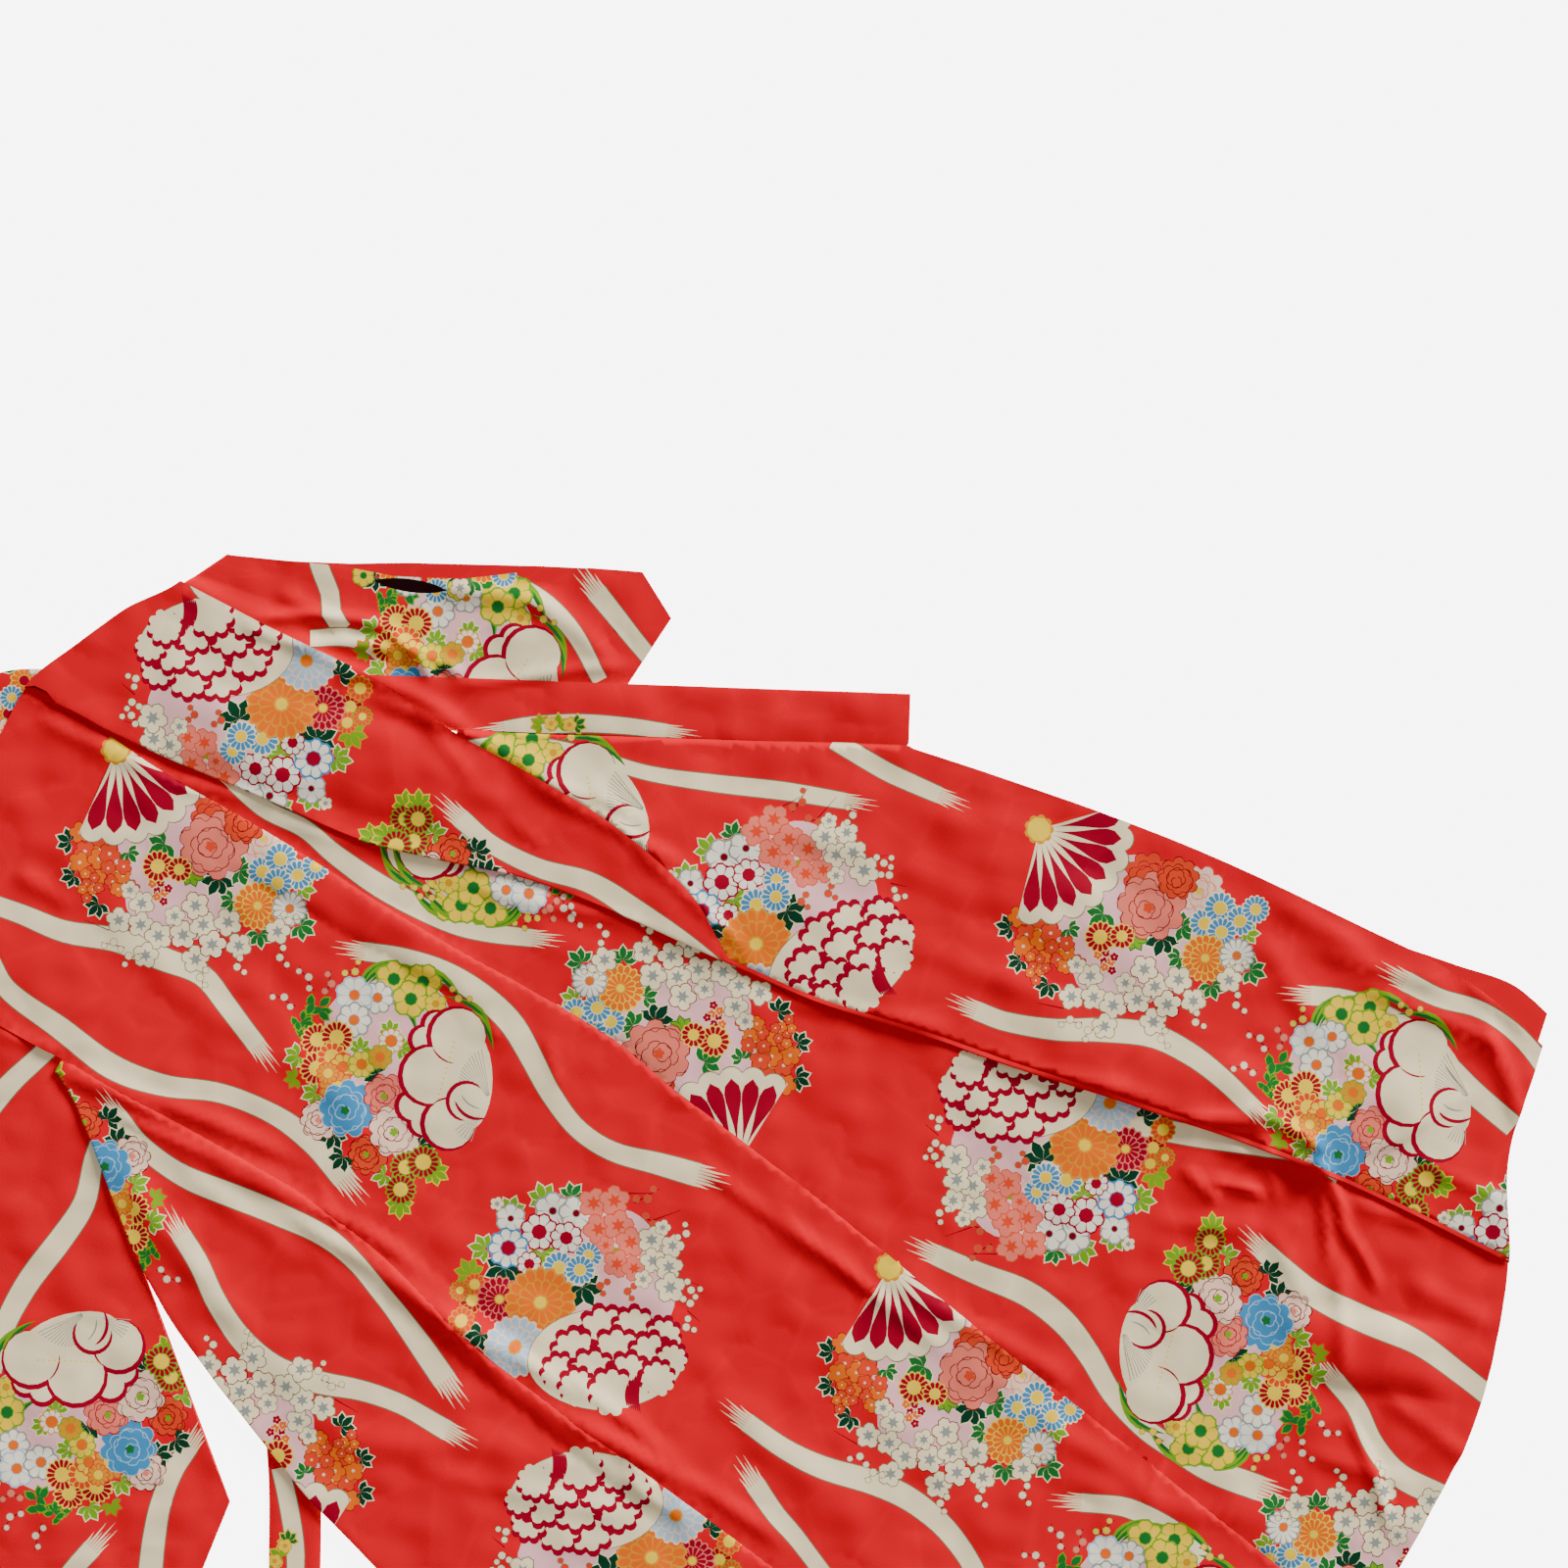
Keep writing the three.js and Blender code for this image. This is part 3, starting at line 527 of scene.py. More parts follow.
def daisy(x, y, r, turn, fill="white", rim="mist", heart="orange", count=12, core=0.33):
    """A daisy: petals as one rosette parted by rays, and a round heart."""
    made = [(rosette(x, y, r * 1.08, count, 0.16, turn, 3), rim)]
    made += [(rosette(x, y, r * 0.97, count, 0.18, turn, 3), fill)]
    made += spokes(x, y, r * 0.3, r * 0.95, count, rim, turn, r * 0.10)
    return made + [(disc(x, y, r * (core + 0.05)), rim), (disc(x, y, r * core), heart)]


def mum(x, y, r, turn, fill="orange", rim="yellow", heart="yellow"):
    """A chrysanthemum: two rounds of narrow petals and a heart."""
    made = [(rosette(x, y, r * 1.06, 18, 0.14, turn, 3), rim)]
    made += [(rosette(x, y, r * 0.98, 18, 0.15, turn, 3), fill)]
    made += spokes(x, y, r * 0.55, r * 0.96, 18, rim, turn, r * 0.09)
    made += [(rosette(x, y, r * 0.70, 14, 0.16, turn + 9, 3), rim)]
    made += [(rosette(x, y, r * 0.64, 14, 0.16, turn + 9, 3), fill)]
    made += spokes(x, y, r * 0.2, r * 0.62, 14, rim, turn + 9, r * 0.07)
    return made + [(disc(x, y, r * 0.24), "gold"), (disc(x, y, r * 0.18), heart)]


def peony(x, y, r, turn, fill="salmon", rim="wine", heart="salmon"):
    """A peony: frilled rounds one inside the other, each a little off the last one's middle."""
    made = []
    for k, (size, lobes) in enumerate([(1.0, 9), (0.82, 8), (0.64, 7), (0.46, 5), (0.28, 4)]):
        a = np.radians(turn + 137 * k)
        cx, cy = x + 0.10 * r * np.cos(a), y + 0.10 * r * np.sin(a)
        made += [(rosette(cx, cy, r * size, lobes, 0.2, turn + 31 * k), rim)]
        made += [(rosette(cx, cy, r * size - 0.8, lobes, 0.2, turn + 31 * k), fill)]
    return made + [(rosette(x, y, r * 0.16, 5, 0.3, turn), heart)]


def florets(x, y, r, turn, fill="coral", rim="wine"):
    """A cluster of small azalea flowers."""
    made = []
    for k in range(8):
        a = np.radians(turn + 47 * k)
        reach = r * (0.25 + 0.5 * (k % 3) / 2)
        fx, fy = x + reach * np.cos(a), y + reach * np.sin(a)
        made += [(rosette(fx, fy, r * 0.36, 5, 0.3, turn + 20 * k), rim)]
        made += [(rosette(fx, fy, r * 0.36 - 0.6, 5, 0.3, turn + 20 * k), fill if k % 2 else "orange")]
        made += [(disc(fx, fy, r * 0.06, 5), "blush")]
    return made


def berries(x, y, r, turn, fill="cream"):
    """Three round buds on a twig."""
    stem = np.array([(-r, 0.5), (r * 1.9, 0.2), (r * 1.9, -0.2), (-r, -0.5)])
    made = [(turned(stem, turn, x, y), "wine")]
    for k, size in enumerate((2.6, 3.1, 2.3)):
        spot = turned(np.array([(r * (k - 0.6), 2.2 * (-1) ** k)]), turn, x, y)[0]
        made += [(disc(*spot, size + 0.5, 7), "rim"), (disc(*spot, size, 7), fill)]
    return made


def twig(x, y, r, turn):
    return [(turned(np.array([(0, 0.45), (r, 0.15), (r, -0.15), (0, -0.45)]), turn, x, y), "wine")]


def blade(x, y, r, turn):
    """A long narrow bent leaf."""
    t = np.linspace(0, 1, 8)
    bow = 0.16 * r * np.sin(np.pi * t)
    half = 1.5 * np.sin(np.pi * t) ** 0.6 + 0.05
    line = np.concatenate([
        np.column_stack([r * t, bow + half]), np.column_stack([r * t, bow - half])[::-1],
    ])
    return [(turned(line * (1, 1.3), turn, x, y), "lime"), (turned(line, turn, x, y), "green")]


def moss(x, y, r, turn):
    """A clump of small bright leaves."""
    made = []
    for k in range(9):
        a = np.radians(turn + 80 * k)
        reach = r * 0.22 * (k % 4)
        lx, ly = x + reach * np.cos(a), y + reach * np.sin(a)
        made += leaf(lx, ly, r * 0.6, r * 0.34, turn + 40 * k, "green", "lime")
    return made


def fan(x, y, r, turn):
    """Half a great chrysanthemum: club-shaped crimson petals from a yellow heart, set in a cream
    fan with a scalloped edge."""
    count, step = 8, 15.0
    rays = np.linspace(0, count, count * 6 + 1)
    a = np.radians(turn + step * rays)
    edge = r * (0.93 + 0.07 * np.abs(np.sin(np.pi * rays)) ** 0.7)
    outline = np.concatenate([[(0, 0)], np.column_stack([edge * np.cos(a), edge * np.sin(a)])])
    made = [(turned(outline * 1.012, 0, x, y), "rim"), (turned(outline, 0, x, y), "cream")]
    club = petal(r * 0.74, r * 0.18, 2.8, 8) + (r * 0.14, 0)
    for k in range(count):
        made += [(turned(club, turn + step * (k + 0.5), x, y), "crimson")]
    return made + [(rosette(x, y, r * 0.16, 9, 0.15, 0, 3), "gold"), (disc(x, y, r * 0.13), "yellow")]


def crescent(x, y, r, start, end, width):
    """A curved stroke: an arc that is widest in its middle, by width x sin(pi t)^0.5."""
    t = np.linspace(0, 1, 15)
    a = np.radians(start + (end - start) * t)
    ray = np.column_stack([np.cos(a), np.sin(a)])
    half = 0.5 * width * np.sin(np.pi * t).clip(0)[:, None] ** 0.5 + 0.05
    return np.concatenate([ray * (r + half), (ray * (r - half))[::-1]]) + (x, y)


def magnolia(x, y, r, turn):
    """A great magnolia: round cream petals with thick crimson outlines on one side, fine grey
    lines towards its base and a petal that curls over."""
    small = [(-20, 30, 11), (-10, 42, 11), (-30, -24, 12), (-21, -37, 11)]
    large = [(7, 33, 23), (-15, 1, 24), (0, -38, 21)]
    made = []
    for lobes in (small, large):
        made += [(disc(x + px - 1.4, y + py, size + 1.6, 18), "crimson") for px, py, size in lobes]
        made += [(disc(x + px + 0.4, y + py, size - 0.8, 18), "cream") for px, py, size in lobes]
    made += [(turned(rosette(0, 0, 1, 1, 0, 0, 24) * (19, 41), 0, x + 16, y - 2), "cream")]
    made += [(crescent(x + 7, y + 33, 22.6, 205, 262, 1.4), "crimson")]
    made += [(crescent(x, y - 38, 20.6, 62, 130, 1.6), "crimson")]
    for k in range(12):
        ray = np.array([(2, 0.1), (40 - k, 0.5), (40 - k, -0.2), (2, -0.1)])
        made += [(turned(ray, 100 + 4.6 * k, x + 33, y - 17), "grey")]
        made += [(disc(x + 4 - 1.2 * k, y + 28 - 4.2 * k, 0.9, 5), "yellow")]
    for k in range(6):
        ray = np.array([(3, 0.1), (26, 0.5), (26, -0.2), (3, -0.1)])
        made += [(turned(ray, 216 + 7 * k, x + 26, y - 28), "grey")]
    made += [(disc(x + 14, y - 20, 15.5, 18), "cream")]
    made += [(crescent(x + 14, y - 20, 15.5, 40, 268, 3.4), "crimson")]
    made += [(crescent(x + 24, y - 14, 20, 196, 285, 2.8), "crimson")]
    return made + [(crescent(x + 28, y - 6, 20, 205, 262, 1.2), "grey")]


def frills(x, y, r, turn):
    """A great peony: frilled cream petals with crimson edges, each over the one behind it."""
    made = [(turned(rosette(0, 0, 1, 1, 0, 0, 40) * (63, 41), 0, x, y), "rim"),
            (turned(rosette(0, 0, 1, 1, 0, 0, 40) * (62.4, 40.4), 0, x, y), "cream")]
    for px, py, size, lean in [
        (-2, 26, 21, 90), (22, 28, 18, 80), (46, 22, 15, 70), (-26, 10, 19, 110), (8, 8, 21, 85),
        (36, 6, 19, 70), (53, 4, 13, 60), (-38, -6, 15, 120), (-12, -8, 20, 95), (18, -10, 19, 85),
        (41, -12, 15, 70), (-24, -18, 15, 115), (4, -22, 19, 95),
    ]:
        made += [(rosette(x + px, y + py - 2, size + 1.1, 9, 0.2, lean + 3 * px, 4), "crimson")]
        made += [(rosette(x + px + 0.6, y + py - 5.4, size - 0.6, 9, 0.2, lean + 3 * px, 4), "cream")]
    for k in range(7):
        vein = crescent(x + 78 - 5 * k, y - 30, 52 - 3.4 * k, 150 + 2 * k, 196, 2.0)
        made += [(vein, "crimson")]
    return made


def cuff(x, y, r, turn):
    """Painted shade: a dark patch that stands in for the deep shade inside the sleeve's open end."""
    return [(turned(petal(2 * r, 0.36 * r, 1.0, 7) - (r, 0), turn, x, y), "shade")]


print("colours:", len(COLOURS))

# %% the three flower balls
# Columns: kind, x, y, size, turn, then colours where they aren't the kind's own
BALL_A = [
    ("base", -6, -16, 62, 0), ("twig", -96, -16, 14, 160), ("twig", -76, -60, 22, 150),
    ("leaves", -97, 16, 12, 150, "dark"), ("leaves", -98, -12, 11, 190, "dark"),
    ("leaves", -82, -38, 12, 220, "dark"), ("leaves", -22, 3, 15, 200), ("leaves", -52, 0, 10, 300),
    ("florets", -80, 4, 26, 20), ("florets", -64, -18, 20, 80), ("florets", -86, -22, 14, 10),
    ("leaves", 18, -31, 16, 230, "dark"), ("leaves", 36, -27, 14, 330), ("leaves", 66, -12, 12, 60),
    ("leaves", 44, -80, 12, 270), ("leaves", 78, -78, 13, 320), ("leaves", 26, -50, 11, 200),
    ("leaves", 84, -48, 11, 340, "lime"), ("leaves", -4, -24, 11, 330, "lime", "green"),
    ("florets", -30, -34, 12, 40, "crimson", "cream"),
    ("peony", 58, -4, 20, 30, "blush", "salmon", "yellow"),
    ("peony", 22, 18, 21, 75, "coral", "crimson", "coral"),
    ("peony", 15, -4, 29, 10, "salmon", "wine", "coral"),
    ("peony", 44, 10, 18, 50, "coral", "wine", "coral"),
    ("daisy", -30, -14, 12.5, 8, "crimson", "yellow", "yellow", 14, 0.45),
    ("daisy", -13, -19, 10, 0, "crimson", "yellow", "yellow", 12, 0.45),
    ("daisy", 54, -30, 12, 5, "blue", "cream", "yellow", 14, 0.42),
    ("daisy", 70, -22, 13, 0, "blue", "cream", "yellow", 14, 0.42),
    ("daisy", 82, -37, 12, 10, "blue", "cream", "yellow", 14, 0.42),
    ("daisy", 65, -41, 12, 15, "blue", "cream", "yellow", 14, 0.42),
    ("daisy", 97, -32, 11, 0, "blue", "cream", "yellow", 14, 0.42),
    ("mum", 46, -57, 19, 0), ("daisy", 71, -63, 14, 0, "white", "grey", "orange", 14, 0.25),
    ("plum", -67, -53, 11, 10), ("plum", -47, -42, 11, 40), ("plum", -50, -59, 11, 0),
    ("plum", -37, -70, 12, 25), ("plum", -17, -72, 12, 5, "wine"), ("plum", 0, -66, 12, 50),
    ("plum", -4, -50, 12, 30, "wine"), ("plum", -22, -56, 9, 0), ("plum", -10, -93, 12, 12),
    ("plum", 5, -83, 12, 0, "wine"), ("plum", 20, -67, 12, 33), ("plum", -49, -84, 11, 0),
    ("plum", 26, -87, 11, 40), ("plum", 59, -80, 11, 0), ("plum", -55, -30, 8, 0),
    ("berries", -72, -73, 7, 160), ("berries", -60, -84, 6, 200), ("berries", -6, -106, 6, 260),
    ("berries", 24, -101, 6, 280), ("berries", 60, -98, 7, 275), ("berries", 68, -70, 5, 340),
    ("fan", -50, 84, 77, -122),
]
BALL_B = [
    ("base", 14, 14, 66, 0), ("twig", 88, -8, 14, -40), ("twig", 78, 20, 20, -20),
    ("twig", 40, 88, 20, 0),
    ("twig", 60, 66, 24, 20), ("leaves", -55, 74, 13, 70, "lime"), ("leaves", -28, 84, 14, 110, "lime"),
    ("leaves", 8, 70, 14, 20, "lime"), ("leaves", -76, 44, 13, 170, "lime"),
    ("leaves", -30, 40, 13, 280, "lime"),
    ("leaves", -6, 86, 12, 50), ("leaves", -60, 28, 18, 250, "dark"),
    ("leaves", 3, 12, 18, 300, "dark"),
    ("leaves", -78, -24, 14, 230, "dark"), ("leaves", -88, 24, 13, 120, "lime", "gold"),
    ("leaves", 24, 40, 10, 20, "lime"), ("leaves", -78, 8, 12, 180, "lime"),
    ("daisy", -21, 74, 15, 0, "white", "grey", "wine", 6, 0.2),
    ("daisy", -2, 72, 14, 20, "white", "grey", "wine", 6, 0.2),
    ("daisy", -55, 68, 12, 0, "white", "grey", "wine", 6, 0.2), ("plum", -66, 80, 6, 0),
    ("daisy", -32, 57, 15, 0, "white", "crimson", "crimson", 8, 0.38),
    ("daisy", -10, 52, 13, 10, "white", "crimson", "crimson", 8, 0.38),
    ("daisy", -57, 44, 16, 0, "white", "blue", "crimson", 9, 0.38),
    ("daisy", -40, 31, 10, 0, "white", "crimson", "crimson", 8, 0.4),
    ("daisy", 8, 38, 11, 0, "blue", "cream", "yellow", 14, 0.4),
    ("daisy", -16, 28, 13, 0, "blue", "cream", "yellow", 14, 0.4),
    ("daisy", 1, 26, 12, 10, "blue", "cream", "yellow", 14, 0.4),
    ("plum", 12, 80, 13, 0, "coral", "salmon"), ("plum", 29, 82, 13, 20, "coral", "salmon"),
    ("plum", 16, 59, 13, 40, "coral", "salmon"), ("plum", 32, 62, 13, 5, "coral", "salmon"),
    ("plum", 42, 48, 13, 15, "coral", "salmon"), ("plum", 31, 31, 12, 0, "coral", "salmon"),
    ("plum", 45, 27, 11, 35, "coral", "salmon"), ("plum", 22, 46, 8, 35, "coral", "salmon"),
    ("berries", 52, 84, 8, 30, "coral"), ("berries", 58, 66, 8, -20, "coral"),
    ("berries", 42, 10, 5, 260, "coral"),
    ("berries", 20, 14, 5, 250, "coral"),
    ("plum", 59, 50, 12, 0), ("plum", 60, 33, 11, 30), ("plum", 73, 28, 12, 10),
    ("plum", 76, 45, 10, 0),
    ("plum", 74, 11, 13, 20), ("plum", 68, 60, 7, 0), ("plum", 52, 18, 8, 0),
    ("berries", 84, 54, 6, 60),
    ("berries", 90, 12, 6, -30), ("berries", 88, 0, 5, 10), ("berries", 88, -18, 5, -60),
    ("daisy", -86, 2, 10, 0, "crimson", "gold", "yellow", 12, 0.5),
    ("daisy", -94, -13, 10, 0, "coral", "gold", "yellow", 12, 0.5),
    ("daisy", -84, 15, 9, 0, "coral", "gold", "yellow", 12, 0.5),
    ("daisy", -96, 10, 8, 0, "coral", "lime", "yellow", 12, 0.4),
    ("mum", -64, 3, 18, 0, "crimson", "salmon"), ("mum", -31, 0, 28, 0, "orange", "gold"),
    ("mum", -51, -35, 24, 0, "mist", "blush", "orange"), ("frills", 22, -46, 62, 0),
]
BALL_C = [
    ("base", 0, 4, 64, 0), ("blade", -30, 50, 46, 40), ("blade", -26, 56, 44, 25),
    ("blade", 0, 44, 30, -50),
    ("blade", 44, 50, 50, -42), ("blade", 52, 42, 46, -50), ("blade", 6, 74, 60, -30),
    ("blade", -20, 60, 48, 12),
    ("berries", -86, 46, 8, 150, "blush"), ("berries", -68, 62, 8, 120, "blush"),
    ("berries", -52, 58, 7, 80, "salmon"),
    ("moss", -60, 38, 18, 0), ("moss", -72, 28, 13, 40), ("berries", -34, 70, 7, 40, "yellow"),
    ("berries", 52, 52, 8, -30, "yellow"),
    ("leaves", -2, 22, 10, 90, "lime"), ("leaves", 8, 8, 11, 350, "lime"),
    ("leaves", -26, 8, 10, 90, "lime"),
    ("leaves", -76, 2, 12, 200, "lime"), ("leaves", -78, -16, 10, 190, "lime", "coral"),
    ("leaves", -11, -12, 15, 160, "dark"), ("leaves", -62, -28, 12, 200, "lime"),
    ("leaves", 22, -72, 13, 0, "dark"),
    ("leaves", -40, -80, 13, 230, "dark"), ("leaves", -48, -62, 13, 250, "dark"),
    ("leaves", 34, -92, 12, 330, "lime", "yellow"),
    ("leaves", -6, -94, 11, 200, "lime"), ("leaves", 6, -118, 12, 270, "lime", "yellow"),
    ("daisy", 1, 64, 15, 0, "yellow", "lime", "green", 6, 0.33),
    ("daisy", 25, 62, 15, 30, "yellow", "lime", "green", 6, 0.33),
    ("daisy", 15, 48, 15, 15, "yellow", "lime", "green", 6, 0.33),
    ("daisy", 35, 44, 9, 0, "yellow", "lime", "gold", 6, 0.3),
    ("daisy", -12, 49, 13, 10, "white", "grey", "orange", 8, 0.3),
    ("daisy", -31, 51, 15, 0, "white", "mist", "orange", 8, 0.3),
    ("daisy", -31, 31, 14, 20, "white", "grey", "orange", 8, 0.3),
    ("daisy", -61, 15, 12.5, 0, "crimson", "yellow", "yellow", 16, 0.45),
    ("daisy", -45, 17, 13, 0, "crimson", "yellow", "yellow", 16, 0.45),
    ("daisy", -61, -8, 13, 0, "crimson", "yellow", "yellow", 16, 0.45),
    ("daisy", -49, 1, 12, 0, "coral", "yellow", "yellow", 12, 0.5),
    ("daisy", -1, 14, 10, 0, "white", "gold", "orange", 10, 0.5),
    ("daisy", -40, -7, 11, 0, "yellow", "coral", "orange", 8, 0.4),
    ("daisy", -25, -5, 11, 0, "yellow", "lime", "orange", 8, 0.4),
    ("daisy", -10, 1, 10, 0, "gold", "lime", "orange", 8, 0.4),
    ("daisy", -45, -24, 14, 0, "gold", "coral", "yellow", 12, 0.45),
    ("daisy", -52, -12, 9, 0, "gold", "coral", "yellow", 12, 0.45),
    ("peony", -60, -50, 17, 0, "blush", "wine", "salmon"),
    ("peony", -38, -42, 24, 30, "blue", "mist", "green"),
    ("peony", -7, -31, 19, 10, "salmon", "crimson", "lime"),
    ("peony", -21, -78, 17, 0, "coral", "wine", "lime"),
    ("peony", 1, -60, 23, 20, "blush", "wine", "lime"),
    ("daisy", 11, -88, 12, 0, "crimson", "lime", "yellow", 16, 0.5),
    ("daisy", 25, -84, 13, 0, "crimson", "lime", "yellow", 16, 0.5),
    ("daisy", 7, -106, 12, 0, "crimson", "lime", "yellow", 16, 0.5), ("magnolia", 46, -15, 60, 0),
]
POSY = [  # small flowers of the collar's own print
    ("daisy", 0, 0, 11, 0, "orange", "yellow", "crimson", 12, 0.4), ("leaves", 12, 6, 13, 20, "green"),
    ("daisy", -14, 10, 10, 0, "blue", "cream", "yellow", 14, 0.4),
    ("daisy", 14, -12, 11, 0, "white", "grey", "orange", 9, 0.3),
    ("leaves", -12, -8, 12, 220, "dark"), ("plum", 22, 8, 9, 0),
    ("daisy", -22, -6, 9, 0, "yellow", "lime", "green", 6, 0.3),
]
SPRAY = [
    ("leaves", 0, 0, 11, 90, "lime", "yellow"), ("leaves", -14, 2, 9, 150, "lime", "gold"),
    ("leaves", 14, 2, 9, 30, "green", "yellow"), ("plum", -6, 3, 6, 0, "gold", "yellow"),
    ("plum", 9, 2, 6, 0, "gold", "yellow"),
]
# Painted shade: one dark patch for the deep shade inside the sleeve's open end
PAINTED_CUFF_SHADE = [("cuff", 0, 0, 30, 0)]


def base(x, y, r, turn):
    return [(rosette(x, y, r, 9, 0.08, 0, 5), "pink")]


KINDS = {
    "base": base, "twig": twig, "leaves": leaves, "florets": florets, "peony": peony, "daisy": daisy,
    "mum": mum, "plum": plum, "berries": berries, "fan": fan, "magnolia": magnolia, "frills": frills,
    "blade": blade, "moss": moss, "cuff": cuff,
}


def recoloured(made, swap):
    return [(points, swap.get(colour, colour)) for points, colour in made]


def ball(table):
    """Every flower of a ball, as one list of outlines."""
    made = []
    for kind, x, y, size, turn, *rest in table:
        if kind == "plum" and len(rest) == 2:
            made += recoloured(plum(x, y, size, turn), {"cream": rest[1], "rim": rest[0], "grey": rest[0]})
        else:
            made += KINDS[kind](x, y, size, turn, *rest)
    return made


BALLS = {
    "A": ball(BALL_A), "B": ball(BALL_B), "C": ball(BALL_C), "posy": ball(POSY),
    "spray": ball(SPRAY), "cuff": ball(PAINTED_CUFF_SHADE),
}
print("outlines in a ball:", {name: len(made) for name, made in BALLS.items()})

# %% where the balls are on each piece
# Columns: piece, layer (1 is the pleat's top layer), ball, (w, s) of its middle, turn
BALLS_ON = [
    ("back_left", 0, "A", (-43, 180), 8), ("back_left", 0, "C", (-120, 405), 0),
    ("back_left", 0, "B", (-224, 631), 0),
    ("back_left", 0, "A", (-132, 924), 0), ("back_left", 0, "C", (-235, 1156), 0),
    ("front_left", 0, "C", (-361, 227), 180), ("front_left", 0, "A", (-474, 454), 180),
    ("front_left", 0, "B", (-394, 753), 180),
    ("back_right", 0, "C", (79, 380), 180), ("back_right", 0, "A", (-12, 609), 180),
    ("back_right", 0, "B", (66, 907), 180),
    ("back_right", 0, "C", (-31, 1117), 180), ("back_right", 0, "A", (-140, 1314), 180),
    ("back_right", 1, "B", (77, 165), 180), ("back_right", 1, "C", (-29, 389), 180),
    ("front_right", 1, "C", (106, 421), 28), ("front_right", 1, "B", (126, 639), 28),
    ("front_right", 1, "A", (267, 876), 18),
    ("front_right", 1, "C", (227, 1113), 18), ("front_right", 1, "B", (157, 1322), 18),
    ("sleeve_left", 0, "C", (-500, 309), 104), ("sleeve_right", 0, "C", (193, 304), -16),
    ("sleeve_right", 0, "posy", (230, 217), 0), ("sleeve_right", 0, "posy", (247, 252), 120),
    # The last entry on the next line is painted shade, a dark patch inside the sleeve's open end
    ("sleeve_right", 0, "posy", (264, 284), 200), ("sleeve_right", 0, "cuff", (225, 238), -8),
    ("collar", 0, "posy", (-20, -2), 0), ("collar", 0, "posy", (10, -3), 90),
    ("collar", 0, "posy", (-55, 2), 40),
    ("collar", 0, "spray", (180, 398), 0), ("collar", 0, "spray", (-520, 515), 60),
]

